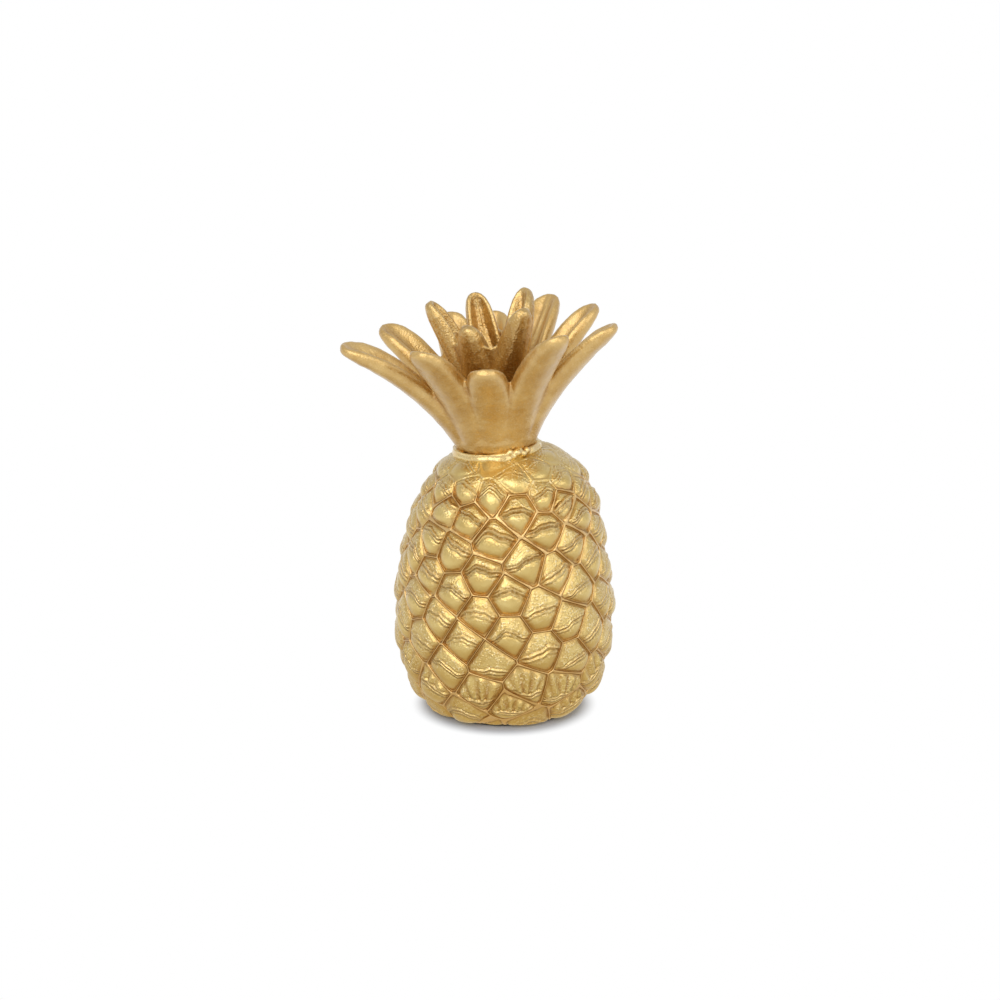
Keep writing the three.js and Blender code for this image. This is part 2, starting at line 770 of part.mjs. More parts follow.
// Screw with a socket in its head; its thread is left plain.
function crownScrew() {
  const under = -neckPlate - washerThickness - springWasherThickness - 3 * jointGap;
  const top = -spigotDepth + jointGap + screwReach;
  const head = revolved(
    [
      [0, under - screwHeadHeight],
      [screwHeadRadius * 0.88, under - screwHeadHeight],
      [screwHeadRadius, under - screwHeadHeight * 0.86],
      [screwHeadRadius, under],
      [screwRadius, under],
      [screwRadius, top - screwRadius / 3],
      [screwRadius * 0.7, top],
      [0, top],
    ],
    24,
  );
  const face = under - screwHeadHeight;
  const drive = bar(driveRadius, face - overrun, face + driveDepth, 6);
  return head.subtract(drive);
}

// Flat washer against the spot face inside the neck.
function flatWasher() {
  const top = -neckPlate - jointGap;
  const bore = screwRadius + screwHoleClearance / 2;
  return bar(washerRadius, top - washerThickness, top, 32).subtract(
    bar(bore, top - washerThickness - overrun, top + overrun, 32),
  );
}

// Split spring washer between the flat washer and the screw's head.
function springWasher() {
  const top = -neckPlate - washerThickness - 2 * jointGap;
  const bore = screwRadius + screwHoleClearance / 2;
  const ring = bar(bore + springWasherWidth, top - springWasherThickness, top, 32).subtract(
    bar(bore, top - springWasherThickness - overrun, top + overrun, 32),
  );
  const slit = new THREE.BoxGeometry(springWasherSlit, washerRadius, springWasherThickness + overrun);
  slit.translate(0, -washerRadius / 2, top);
  return ring.subtract(solid(slit));
}

// Felt disc under the base; its underside is the table plane.
function feltBase() {
  const radius = profileAt("height", feltThickness).radius - eyeRelief - feltInset;
  return bar(radius, 0, feltThickness, 48);
}

// Finishes

function goldPaint() {
  return new THREE.MeshStandardMaterial({ color: 0xcda550, roughness: 0.42, metalness: 0.9 });
}

function brightGold() {
  return new THREE.MeshStandardMaterial({ color: 0xdcbf72, roughness: 0.3, metalness: 0.9 });
}

function zincSteel() {
  return new THREE.MeshStandardMaterial({ color: 0xb4b6b8, roughness: 0.35, metalness: 1 });
}

function darkFelt() {
  return new THREE.MeshStandardMaterial({ color: 0x2e2c2a, roughness: 0.95, metalness: 0 });
}

// Assembly

function piece(name, shape, material) {
  const mesh = new THREE.Mesh(geometryOf(shape), material);
  mesh.name = name;
  return mesh;
}

function buildCrown() {
  const crown = new THREE.Group();
  crown.applyMatrix4(crownMatrix());
  crown.add(piece("crown_outer_whorl", outerWhorl(), goldPaint()));
  crown.add(piece("crown_inner_whorl", innerWhorl(), goldPaint()));
  crown.add(piece("neck_joint_bead", neckBead(), brightGold()));
  crown.add(piece("crown_screw", crownScrew(), zincSteel()));
  crown.add(piece("flat_washer", flatWasher(), zincSteel()));
  crown.add(piece("spring_washer", springWasher(), zincSteel()));
  return crown;
}

function buildPineapple() {
  const pineapple = new THREE.Group();
  pineapple.name = "pineapple_figurine";
  pineapple.add(piece("felt_base", feltBase(), darkFelt()));
  pineapple.add(piece("body_casting", bodyCasting(), goldPaint()));
  pineapple.add(buildCrown());
  return pineapple;
}

export default buildPineapple();
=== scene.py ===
"""Looks of a gold-painted pineapple ornament, cast in aluminium and joined at the neck.

The body is pressed into spiralling eyes, the crown is two cast whorls of leaves, and a bead of
filler hides the seam. Sizes are in millimetres until a mesh is written, +Z is up and -Y is front.
"""

import logging
import math
from collections.abc import Iterable
from dataclasses import dataclass, field, fields
from enum import Enum

import bmesh
import bpy
import numpy as np
from bmesh.types import BMEdge, BMesh, BMVert
from mathutils import Matrix, Vector, noise


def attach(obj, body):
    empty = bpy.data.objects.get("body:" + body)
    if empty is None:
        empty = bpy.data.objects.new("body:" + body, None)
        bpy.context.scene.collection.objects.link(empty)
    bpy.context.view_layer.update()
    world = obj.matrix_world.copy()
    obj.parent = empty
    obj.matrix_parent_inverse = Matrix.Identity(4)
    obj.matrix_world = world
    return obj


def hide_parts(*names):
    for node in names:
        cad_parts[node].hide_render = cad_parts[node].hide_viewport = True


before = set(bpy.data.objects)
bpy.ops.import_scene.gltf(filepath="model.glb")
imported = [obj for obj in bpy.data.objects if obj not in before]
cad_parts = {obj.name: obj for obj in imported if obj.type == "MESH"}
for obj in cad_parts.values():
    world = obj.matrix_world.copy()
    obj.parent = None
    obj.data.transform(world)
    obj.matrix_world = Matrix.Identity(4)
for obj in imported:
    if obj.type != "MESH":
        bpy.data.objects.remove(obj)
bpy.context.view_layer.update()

LOG = logging.getLogger("pineapple")
MM = 0.001
NEAR_POLE = 1 - 1e-9


class Pole(Enum):
    """Which end of the body an eye covers."""

    FOOT = -1
    NONE = 0
    NECK = 1


def smoothstep(value: np.ndarray | float, low: float, high: float) -> np.ndarray:
    """Rise smoothly from 0 at low to 1 at high."""
    t = np.clip((np.asarray(value, float) - low) / (high - low), 0.0, 1.0)
    return t * t * (3.0 - 2.0 * t)


def spline(points: np.ndarray, count: int, closed: bool = False) -> np.ndarray:
    """Run a smooth curve through points.

    Args:
        points: Rows of coordinates that the curve passes through.
        count: How many samples to return.
        closed: Whether the last point joins the first.

    Returns:
        The samples, evenly spaced in the curve's own parameter.
    """
    points = np.asarray(points, float)
    last = len(points) - 1
    spans = last + 1 if closed else last
    t = np.linspace(0.0, spans, count, endpoint=not closed)
    span = np.minimum(t.astype(int), spans - 1)
    w = (t - span)[:, None]
    p0, p1, p2, p3 = (
        points[(span + k) % spans if closed else np.clip(span + k, 0, last)] for k in (-1, 0, 1, 2)
    )
    v0, v1 = (p2 - p0) / 2, (p3 - p1) / 2
    bend, turn = 2 * p1 - 2 * p2 + v0 + v1, -3 * p1 + 3 * p2 - 2 * v0 - v1
    return bend * w**3 + turn * w**2 + v0 * w + p1


def even_steps(points: np.ndarray, count: int) -> np.ndarray:
    """Space the samples of a curve evenly along its length.

    Args:
        points: The samples as rows of coordinates.
        count: How many samples to return.

    Returns:
        The new samples.
    """
    steps = np.linalg.norm(np.diff(points, axis=0), axis=1)
    lengths = np.concatenate([[0.0], np.cumsum(steps)])
    wanted = np.linspace(0.0, lengths[-1], count)
    return np.stack([np.interp(wanted, lengths, column) for column in points.T], axis=1)


def turn_between(start: float, end: float) -> float:
    """Difference of two azimuths, between minus and plus half a turn."""
    return (end - start + math.pi) % (2 * math.pi) - math.pi


def place_of(direction: Vector) -> tuple[float, float]:
    """Azimuth and reach of the place that a direction stands for."""
    unit = direction.normalized()
    return math.atan2(unit.x, -unit.y), math.atanh(max(min(unit.z, NEAR_POLE), -NEAR_POLE))


def noise_at(points: np.ndarray, size: float, seed: float = 0.0) -> np.ndarray:
    """Smooth noise in space.

    Args:
        points: Rows of coordinates in millimetres.
        size: Size of a blob in millimetres.
        seed: Shift that gives another pattern.

    Returns:
        One value for each point, from about -1 to 1.
    """
    shift = Vector((seed * 17.3, seed * 5.1, seed * 9.7))
    return np.array([noise.noise(Vector(p) / size + shift) for p in points])


def piece_from(bm: BMesh, name: str) -> bpy.types.Object:
    """Turn a bmesh in millimetres into a smooth object at the origin.

    Args:
        bm: The finished bmesh, which is freed.
        name: The name of the new object.

    Returns:
        The new object, linked to the scene.
    """
    bmesh.ops.scale(bm, vec=(MM, MM, MM), verts=bm.verts)
    mesh = bpy.data.meshes.new(name)
    bm.to_mesh(mesh)
    bm.free()
    mesh.polygons.foreach_set("use_smooth", [True] * len(mesh.polygons))
    made = bpy.data.objects.new(name, mesh)
    bpy.context.scene.collection.objects.link(made)
    return made


def stand_for(made: bpy.types.Object, node: str) -> None:
    """Let a piece ride on the ornament and replace a node of the frame.

    Args:
        made: The piece.
        node: The node of the frame that it replaces.
    """
    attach(made, "root")
    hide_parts(node)
    LOG.info("%s stands for %s with %d faces", made.name, node, len(made.data.polygons))


def ring_edges(ring: list[BMVert]) -> list[BMEdge]:
    """Edges that join each vertex of a ring to the next."""
    members = set(ring)
    return list({e for v in ring for e in v.link_edges if e.other_vert(v) in members})


def spun(bm: BMesh, geom: list[BMVert | BMEdge], steps: int) -> None:
    """Turn vertices and edges once round the upright axis into a closed skin."""
    bmesh.ops.spin(
        bm, geom=geom, axis=(0, 0, 1), cent=(0, 0, 0), dvec=(0, 0, 0), angle=2 * math.pi,
        steps=steps, use_merge=True,
    )  # fmt: skip


def lathed(bm: BMesh, outline: list[tuple[float, float]], steps: int = 72) -> None:
    """Turn an outline of radius and height, from axis to axis, into a closed round body.

    Args:
        bm: The bmesh that the body is added to.
        outline: The outline's points.
        steps: How many sides the body gets.
    """
    points = [bm.verts.new((radius, 0, height)) for radius, height in outline]
    edges = [bm.edges.new(pair) for pair in zip(points, points[1:])]
    spun(bm, [*points, *edges], steps)
    bmesh.ops.remove_doubles(bm, verts=bm.verts, dist=1e-4)


def drawn_ring(
    bm: BMesh, rim: list[BMEdge], radius: float, height: float, place: Matrix
) -> list[BMEdge]:
    """Extrude an open edge to a circle.

    Args:
        bm: The bmesh.
        rim: The edges of the open edge.
        radius: Radius of the new circle.
        height: Height of the new circle.
        place: The frame that the circle lies in.

    Returns:
        The edges of the new circle.
    """
    fresh = bmesh.ops.extrude_edge_only(bm, edges=rim)["geom"]
    back = place.inverted()
    for vertex in (g for g in fresh if isinstance(g, BMVert)):
        flat = (back @ vertex.co).xy.normalized() * radius
        vertex.co = place @ Vector((flat.x, flat.y, height))
    return [g for g in fresh if isinstance(g, BMEdge) and g.is_boundary]


def mark_wear_and_shading(made: bpy.types.Object, passes: int = 2, gain: float = 1.2) -> None:
    """Write down where the skin is hollow (0), flat (0.5) or raised (1), for wear and shading.

    Args:
        made: The object whose mesh is marked.
        passes: How far the marks spread to their neighbours.
        gain: How strongly a bend is marked.
    """
    mesh = made.data
    count = len(mesh.vertices)
    co, normal = np.empty(count * 3), np.empty(count * 3)
    ends = np.empty(len(mesh.edges) * 2, np.int64)
    mesh.vertices.foreach_get("co", co)
    mesh.vertices.foreach_get("normal", normal)
    mesh.edges.foreach_get("vertices", ends)
    co, normal, ends = co.reshape(-1, 3) / MM, normal.reshape(-1, 3), ends.reshape(-1, 2)
    start, end = np.concatenate([ends, ends[:, ::-1]]).T
    degree = np.maximum(np.bincount(start, minlength=count), 1)

    def around(values: np.ndarray) -> np.ndarray:
        """Average over each vertex's edges."""
        return np.bincount(start, weights=values, minlength=count) / degree

    towards = np.stack([around(column[end]) for column in co.T], axis=1) - co
    span = around(np.linalg.norm(co[start] - co[end], axis=1))
    bend = -np.einsum("ij,ij->i", towards, normal) / np.maximum(span, 1e-3) ** 1.5
    for _ in range(passes):
        bend = 0.5 * bend + 0.5 * around(bend[end])
    # The paint reads this for wear and painted highlight on ridges, and for tone and painted shade
    # in hollows.
    layer = mesh.attributes.new("wear", "FLOAT", "POINT")
    layer.data.foreach_set("value", np.clip(0.5 + gain * bend, 0, 1).astype(np.float32))


def cast_together(
    bm: BMesh, name: str, place: Matrix, voxel: float, passes: int, roughness: float
) -> bpy.types.Object:
    """Melt overlapping pieces into one casting with small fillets and an uneven skin.

    Args:
        bm: The pieces, which are freed.
        name: The name of the casting.
        place: The frame that the pieces lie in.
        voxel: Size of the detail that is kept, in millimetres.
        passes: How many times the skin is smoothed.
        roughness: How far the skin wanders, in millimetres.

    Returns:
        The casting.
    """
    bmesh.ops.recalc_face_normals(bm, faces=bm.faces)
    bm.transform(place)
    made = piece_from(bm, name)
    made.modifiers.new("melt", "REMESH").mode = "VOXEL"
    made.modifiers["melt"].voxel_size = voxel * MM
    seen = made.evaluated_get(bpy.context.evaluated_depsgraph_get())
    melted = bpy.data.meshes.new_from_object(seen)
    made.modifiers.clear()
    bm = bmesh.new()
    bm.from_mesh(melted)
    bpy.data.meshes.remove(melted)
    free = {f"use_axis_{axis}": True for axis in "xyz"}
    for _ in range(passes):
        bmesh.ops.smooth_vert(bm, verts=bm.verts, factor=0.5, **free)
    bm.normal_update()
    points = np.array([v.co for v in bm.verts]) / MM
    wander = noise_at(points, 6.0) * 0.7 + noise_at(points, 2.2, 1.0) * 0.3 - 0.5
    for vertex, far in zip(list(bm.verts), wander * roughness * MM):
        vertex.co += vertex.normal * far
    bm.to_mesh(made.data)
    bm.free()
    made.data.polygons.foreach_set("use_smooth", [True] * len(made.data.polygons))
    mark_wear_and_shading(made, passes=4)
    return made


@dataclass(frozen=True)
class BodyShape:
    """The lathed outline under the eyes, and the ways to walk on it.

    Its surface is read by a conformal reach, so that a round eye stays round wherever it lies.
    The outline is given as shares of radius and height, from the foot's middle to the neck's.
    """

    height: float = 97.6
    radius: float = 40.8
    sway: float = 1.6
    fine: int = 4000
    samples: int = 901
    outline: tuple[tuple[float, float], ...] = (
        (0, -0.095), (0.22, -0.085), (0.5, -0.045), (0.7, 0), (0.78, 0.03), (0.866, 0.082),
        (0.935, 0.154), (0.983, 0.246), (1, 0.348), (0.988, 0.461), (0.953, 0.564), (0.905, 0.666),
        (0.85, 0.768), (0.735, 0.871), (0.615, 0.932), (0.48, 0.968), (0.405, 0.986), (0.35, 0.993),
        (0.2, 0.998), (0, 1),
    )  # fmt: skip

    def rows(self) -> dict[str, np.ndarray]:
        """Sample the outline.

        Returns:
            Columns of radius, height, reach and length along the outline, from the base up, and
            of the outline's direction out and up.
        """
        shares = np.array(self.outline) * (self.radius, self.height)
        line = even_steps(spline(shares, self.fine), self.samples)[1:-1]
        step = np.linalg.norm(np.diff(line, axis=0), axis=1)
        reach = np.concatenate([[0.0], np.cumsum(2 * step / (line[1:, 0] + line[:-1, 0]))])
        reach -= reach[np.argmax(line[:, 0])]
        slope = np.gradient(line, axis=0)
        slope /= np.linalg.norm(slope, axis=1)[:, None]
        length = np.concatenate([[0.0], np.cumsum(step)])
        columns = (*line.T, *slope.T, reach, length)
        return dict(zip(("radius", "height", "out", "up", "reach", "length"), columns))


@dataclass(frozen=True)
class Eye:
    """One eye: its number on the spiral, its place and how far that is from the body's axis."""

    number: int
    azimuth: float
    reach: float
    radius: float
    pole: Pole = Pole.NONE


@dataclass
class EyeField:
    """The spiral of eyes that covers the body, each one round the turn and up from the last.

    Shifts move single eyes right and up, as shares of the space between eyes. The others stray a
    little by themselves. No eye is drawn where the body is thinner than the pole share.
    """

    shape: BodyShape = field(default_factory=BodyShape)
    pitch_base: float = 16.5
    pitch_neck: float = 9.5
    front_height: float = 55.0
    front_azimuth: float = math.radians(1.2)
    turn: float = math.radians(78.0)
    stray: float = 0.1
    pole_share: float = 0.22
    shifts: dict[int, tuple[float, float]] = field(default_factory=dict)

    def __post_init__(self) -> None:
        """Sample the body's outline once."""
        self.rows = self.shape.rows()

    def at(self, column: str, value: np.ndarray | float) -> dict[str, np.ndarray]:
        """Read every column of the outline where one column has a value."""
        known = self.rows[column]
        return {key: np.interp(value, known, rows) for key, rows in self.rows.items()}

    def area(self, length: np.ndarray | float) -> np.ndarray:
        """Ground that an eye keeps, a length up along the outline."""
        share = length / self.rows["length"][-1]
        return self.pitch_base**2 + share * (self.pitch_neck**2 - self.pitch_base**2)

    def centres(self) -> list[Eye]:
        """Place the eyes: two that cover the poles, then the spiral from the base up."""
        rows = self.rows
        step = np.diff(rows["length"], prepend=0.0)
        count = np.cumsum(2 * math.pi * rows["radius"] * step / self.area(rows["length"]))
        front = count[np.argmax(rows["height"] >= self.front_height)]
        ends = ((Pole.FOOT, 0), (Pole.NECK, -1))
        eyes = [Eye(0, 0.0, float(rows["reach"][i]), 0.0, pole) for pole, i in ends]
        for n in range(math.ceil(-front + 0.5), math.floor(count[-1] - front - 0.5) + 1):
            length = np.interp(front + n, count, rows["length"])
            pitch = math.sqrt(self.area(length))
            loose = (math.sin(2.4 * n + 1) * self.stray, math.sin(1.7 * n + 2) * self.stray)
            right, up = self.shifts.get(n, loose)
            row = self.at("length", length + up * pitch)
            azimuth = self.front_azimuth + n * self.turn + right * pitch / row["radius"]
            if row["radius"] > self.pole_share * self.shape.radius:
                eyes.append(Eye(n, float(azimuth), float(row["reach"]), float(row["radius"])))
        return eyes

    def direction(self, azimuth: float, reach: float) -> Vector:
        """Point on the unit sphere that stands for a place on the body."""
        flat = 1 / math.cosh(reach)
        return Vector((math.sin(azimuth) * flat, -math.cos(azimuth) * flat, math.tanh(reach)))

    def cells(self, eyes: list[Eye]) -> tuple[list[tuple[float, float]], list[list[int]]]:
        """Outline the eyes: each keeps the ground nearer to it than to any other.

        Args:
            eyes: The eyes from centres().

        Returns:
            The corners as azimuth and reach, and for each eye its corners in turn.
        """
        net = bmesh.new()
        spots = [net.verts.new(self.direction(eye.azimuth, eye.reach)) for eye in eyes]
        net.verts.index_update()
        bmesh.ops.convex_hull(net, input=net.verts)
        net.faces.ensure_lookup_table()
        bmesh.ops.recalc_face_normals(net, faces=net.faces)
        outward = [
            -face.normal if face.normal.dot(face.calc_center_median()) < 0 else face.normal
            for face in net.faces
        ]
        corners = [place_of(normal) for normal in outward]
        net.faces.index_update()

        def bearing(eye: Eye, corner: tuple[float, float]) -> float:
            """Which way a corner lies from its eye."""
            if eye.pole is not Pole.NONE:
                return eye.pole.value * corner[0]
            return math.atan2(corner[1] - eye.reach, turn_between(eye.azimuth, corner[0]))

        around = [
            sorted((f.index for f in spot.link_faces), key=lambda i: bearing(eye, corners[i]))
            for eye, spot in zip(eyes, spots)
        ]
        net.free()
        return corners, around


@dataclass
class Spot:
    """Where a vertex of the skin lies: on the body, in which eye, and how far from its sides."""

    azimuth: float
    reach: float
    owner: int = 0
    right: float = 0.0
    up: float = 0.0
    edge: float = 0.0
    dome: float = 0.0


@dataclass(frozen=True)
class EyeForm:
    """Form of one eye: heights as shares of the relief, widths in millimetres."""

    relief: float = 2.5  # from the groove to the top of the cushion
    least: float = 1.5  # height of an upper facet that is all but gone
    slope: float = 2.1  # width of the upper facet's slope down to the groove
    facet: float = 0.76  # upper facet where it meets the lip
    fall: float = 0.62  # and how far it sinks towards the groove above
    belly: float = 0.94  # cushion below the lip
    dip: float = 0.24  # hollow right under the lip
    dip_width: float = 2.3
    flute: float = 0.24  # fans on the lowest eyes
    flute_pace: float = 17.0
    flute_root: float = 5.0
    crease: float = 0.16  # single short creases
    crease_width: float = 0.07
    rope: float = 0.7  # height of the rope in the groove, in millimetres
    rope_width: float = 0.3


@dataclass
class BodyCasting:
    """The body: a closed casting pressed into eyes, flat below and open inside.

    The lips are shares of the eye's height at its left end, then the place and the height of the
    peak, and the height at the right end. The creases are eyes and shares of their half width.
    """

    eyes: EyeField
    crown: "Crown"
    lips: dict[int, tuple[float, float, float, float]]
    form: EyeForm = EyeForm()
    groove_step: float = 1.08
    ring_shares: tuple[float, ...] = (
        0.97, 0.938, 0.9, 0.85, 0.775, 0.69, 0.595, 0.5, 0.4, 0.3, 0.2, 0.1,
    )  # fmt: skip
    fluted: tuple[int, ...] = (-46, -51, -55, -60, -50, -56, -47, -64)
    creases: tuple[tuple[int, float], ...] = (
        (-37, 0.0), (-32, 0.15), (-32, -0.45), (-23, 0.35), (28, 0.2), (37, -0.2),
    )  # fmt: skip
    wall: float = 4.0
    foot_height: float = 1.2
    ceiling: float = 89.6
    hollow_rows: int = 14
    seat_depth: float = 2.0
    socket: float = 8.8
    neck_steps: tuple[tuple[float, float], ...] = (
        (7.5, -8.3), (7.5, -8.0), (3.0, -8.0), (3.0, -3.3), (8.8, -3.3), (8.8, -0.6),
    )  # fmt: skip

    def build(self) -> bpy.types.Object:
        """Build the skin, press the eyes into it and give it its hollow and its neck."""
        bm, data = self.skin()
        self.press(bm, data)
        self.hollow(bm)
        made = piece_from(bm, "pressed_body")
        mark_wear_and_shading(made)
        return made

    def skin(self) -> tuple[BMesh, dict[str, np.ndarray]]:
        """Lay one polygon over each eye and inset it ring by ring.

        Returns:
            The bmesh, and for each vertex in order the columns of its spot and of its eye.
        """
        eyes = self.eyes.centres()
        corners, around = self.eyes.cells(eyes)
        bm = bmesh.new()
        points = [bm.verts.new(self.eyes.direction(*corner)) for corner in corners]
        faces = [bm.faces.new([points[i] for i in ids]) for ids in around]
        for edge in list(bm.edges):
            a, b = (place_of(v.co) for v in edge.verts)
            radius = float(self.eyes.at("reach", (a[1] + b[1]) / 2)["radius"])
            length = radius * math.hypot(turn_between(a[0], b[0]), a[1] - b[1])
            cuts = round(length / self.groove_step) - 1
            if cuts > 0:
                bmesh.ops.bisect_edges(bm, edges=[edge], cuts=cuts)
        spots = {v: Spot(*place_of(v.co)) for v in bm.verts}
        outlines = {}
        for i, (eye, face) in enumerate(zip(eyes, faces)):
            if eye.pole is Pole.NONE:
                ring = [spots[v] for v in face.verts]
                ring = [(turn_between(eye.azimuth, s.azimuth), s.reach - eye.reach) for s in ring]
                outlines[i] = np.array(ring) * eye.radius
        shown = [faces[i] for i in outlines]
        pressed = {i: {} for i in outlines}
        for share in self.ring_shares:
            bmesh.ops.inset_individual(bm, faces=shown, thickness=1e-4)
            for (i, outline), face in zip(outlines.items(), shown):
                pressed[i].update(zip(face.verts, outline * share))
        for i, vertex in zip(outlines, bmesh.ops.poke(bm, faces=shown)["verts"]):
            pressed[i][vertex] = np.zeros(2)
        for i, outline in outlines.items():
            eye, places = eyes[i], np.array(list(pressed[i].values()))
            marks = zip(pressed[i], places, *edge_distance(places, outline))
            for vertex, (right, up), edge, dome in marks:
                azimuth, reach = eye.azimuth + right / eye.radius, eye.reach + up / eye.radius
                spots[vertex] = Spot(azimuth, reach, i, right, up, edge, dome)
        return bm, self.columns(eyes, outlines, [spots[v] for v in bm.verts])

    def columns(
        self, eyes: list[Eye], outlines: dict[int, np.ndarray], spots: list[Spot]
    ) -> dict[str, np.ndarray]:
        """Gather what is known of each vertex.

        Args:
            eyes: The eyes.
            outlines: The outline of each eye that is drawn.
            spots: Where each vertex lies.

        Returns:
            The columns of Spot, and of its eye the number, the outline's four ends, the four
            numbers of the lip, and how far the eye's middle is from its sides.
        """
        data = {f.name: np.array([getattr(s, f.name) for s in spots]) for f in fields(Spot)}
        inner = np.ones(len(eyes))
        np.maximum.at(inner, data["owner"], data["dome"])
        spans = np.tile((-1.0, 1.0, -1.0, 1.0), (len(eyes), 1))
        for i, outline in outlines.items():
            spans[i] = np.stack([outline.min(axis=0), outline.max(axis=0)], axis=1).ravel()
        lips = []
        for eye in eyes:
            side = math.sin(eye.azimuth)
            plain = (0.42 - 0.1 * side, 0.45 * side, 0.64, 0.46 + 0.12 * side)
            lips.append(self.lips.get(eye.number, plain))
        number = np.array([eye.number for eye in eyes])
        names = ("inner", "number", "west", "east", "low", "high", "left", "middle", "peak", "last")
        known = (inner, number, *spans.T, *np.array(lips).T)
        return data | {name: column[data["owner"]] for name, column in zip(names, known)}

    def press(self, bm: BMesh, data: dict[str, np.ndarray]) -> None:
        """Move every vertex to its height and keep what the paint needs as attributes.

        Args:
            bm: The skin.
            data: The columns from skin().
        """
        raised, over, lip = self.heights(data)
        row, shape = self.eyes.at("reach", data["reach"]), self.eyes.shape
        radius = np.maximum(row["radius"] + row["up"] * raised, 0)
        height = row["height"] - row["out"] * raised
        sway = shape.sway * smoothstep(height, shape.height * 0.6, shape.height * 0.9)
        x = np.sin(data["azimuth"]) * radius + sway
        y = -np.cos(data["azimuth"]) * radius
        faded = data["edge"] + 3 * smoothstep(height, 86.0, 93.0)  # no grooves under the crown
        for vertex, co in zip(bm.verts, np.stack([x, y, height], axis=1)):
            vertex.co = co
        marks = {"edge": faded, "over": np.clip(over, -6, 6), "lip": lip}
        layers = {name: bm.verts.layers.float.new(name) for name in marks}
        for name, layer in layers.items():
            for vertex, mark in zip(bm.verts, marks[name]):
                vertex[layer] = mark

    def lip_line(self, data: dict[str, np.ndarray]) -> tuple[np.ndarray, np.ndarray]:
        """Find where each vertex lies against the lip of its eye.

        Args:
            data: The columns from skin().

        Returns:
            Millimetres above the lip, and the share of the eye's half width, from -1 to 1.
        """
        left, middle, peak, last = (data[name] for name in ("left", "middle", "peak", "last"))
        right, n = data["right"], data["number"]
        u = np.clip(np.where(right > 0, right / data["east"], -right / data["west"]), -1, 1)
        rising = left + (peak - left) * smoothstep((u + 1) / (middle + 1), 0, 1)
        falling = peak + (last - peak) * smoothstep((u - middle) / (1 - middle), 0, 1)
        wave = 0.018 * np.sin(6.0 * u + n) + 0.01 * np.sin(13.0 * u + 2 * n)
        lip = np.where(u < middle, rising, falling) + wave
        return data["up"] - data["low"] - (data["high"] - data["low"]) * lip, u

    def heights(self, data: dict[str, np.ndarray]) -> tuple[np.ndarray, np.ndarray, np.ndarray]:
        """Work out how far each vertex stands over the lathed outline.

        Args:
            data: The columns from skin().

        Returns:
            The heights in millimetres, each vertex's height over the lip with the eye's own
            spacing of the folds, and how strong the lip is there.
        """
        form, n, edge = self.form, data["number"], data["edge"]
        height = self.eyes.at("reach", data["reach"])["height"] / self.eyes.shape.height
        soft = 1 - 0.72 * smoothstep(height, 0.87, 0.965) - 0.4 * smoothstep(-height, -0.03, 0.0)
        over, u = self.lip_line(data)
        cap = np.maximum(data["high"] - data["up"] + over, form.least)
        upper = smoothstep(over, -0.3, 0.3)
        share = np.clip(data["dome"] / data["inner"], 0, 1)
        roof = 1 - (1 - np.clip((edge - 0.3) / form.slope, 0, 1)) ** 2.0
        pillow = (1 - (1 - share) ** 2.1) * smoothstep(edge, -0.4, 1.1)
        facet = form.facet - form.fall * np.clip(over / cap, 0, 1) ** 0.9
        facet = roof * facet * (0.75 + 0.25 * pillow)
        dip = form.dip * np.exp(-((np.maximum(-over, 0) / form.dip_width) ** 2))
        belly = pillow * (form.belly - dip)
        fan = np.arctan2(data["right"], over + form.flute_root)
        flutes = form.flute * np.cos(fan * form.flute_pace) * roof * np.clip(over / 2, 0, 1)
        facet = facet + np.where(np.isin(n, self.fluted), flutes, 0.0)
        for number, place in self.creases:
            crease = form.crease * np.exp(-(((u - place) / form.crease_width) ** 2)) * roof
            facet -= np.where(n == number, crease, 0.0)
        body = form.relief * soft * (upper * facet + (1 - upper) * belly - 1)
        rope = form.rope * np.exp(-((edge / form.rope_width) ** 2)) * soft
        ends = np.clip((edge - 0.3) / 1.0, 0, 1) * (0.6 + 0.4 * np.cos(u * math.pi / 2) ** 0.5)
        folds = over * (1 + 0.2 * np.sin(7.3 * n)) + 0.3 * np.sin(4.1 * n + 1)
        return np.minimum(body + rope, 0.0), folds, ends * soft * (0.8 + 0.2 * np.sin(5.0 * n))

    def hollow(self, bm: BMesh) -> None:
        """Cut the foot flat, turn its edge in as the wall of the hollow and bore the neck.

        Args:
            bm: The pressed skin, closed at both poles.
        """
        crown = self.crown.matrix()
        to_crown = crown.inverted()
        for vertex in bm.verts:
            place = to_crown @ vertex.co
            across = math.hypot(place.x, place.y)
            if place.z > -self.seat_depth and across < self.crown.collar + self.crown.gap:
                place.z = min(place.z, 0.0)
                vertex.co = crown @ place
        places = [(v, to_crown @ v.co) for v in bm.verts]
        inside = [v for v, p in places if p.z > -self.seat_depth and p.xy.length < self.socket]
        bmesh.ops.delete(bm, geom=inside, context="VERTS")
        top = [e for e in bm.edges if e.is_boundary]
        for vertex in {v for e in top for v in e.verts}:
            place = to_crown @ vertex.co
            flat = place.xy.normalized() * self.socket
            vertex.co = crown @ Vector((flat.x, flat.y, place.z))
        bmesh.ops.bisect_plane(
            bm, geom=[*bm.verts, *bm.edges, *bm.faces], dist=1e-5, plane_no=(0, 0, -1),
            plane_co=(0, 0, self.foot_height), clear_outer=True,
        )  # fmt: skip
        known = set(top)
        rim = [e for e in bm.edges if e.is_boundary and e not in known]
        inset = self.wall + self.form.relief
        for height in np.linspace(self.foot_height, self.ceiling - self.wall, self.hollow_rows):
            radius = float(self.eyes.at("height", height)["radius"]) - inset
            rim = drawn_ring(bm, rim, radius, height, Matrix())
        rim = drawn_ring(bm, rim, radius - self.wall, self.ceiling, Matrix())
        for radius, height in self.neck_steps:
            rim = drawn_ring(bm, rim, radius, height, crown)
        bmesh.ops.bridge_loops(bm, edges=[*rim, *top])
        bmesh.ops.recalc_face_normals(bm, faces=bm.faces)


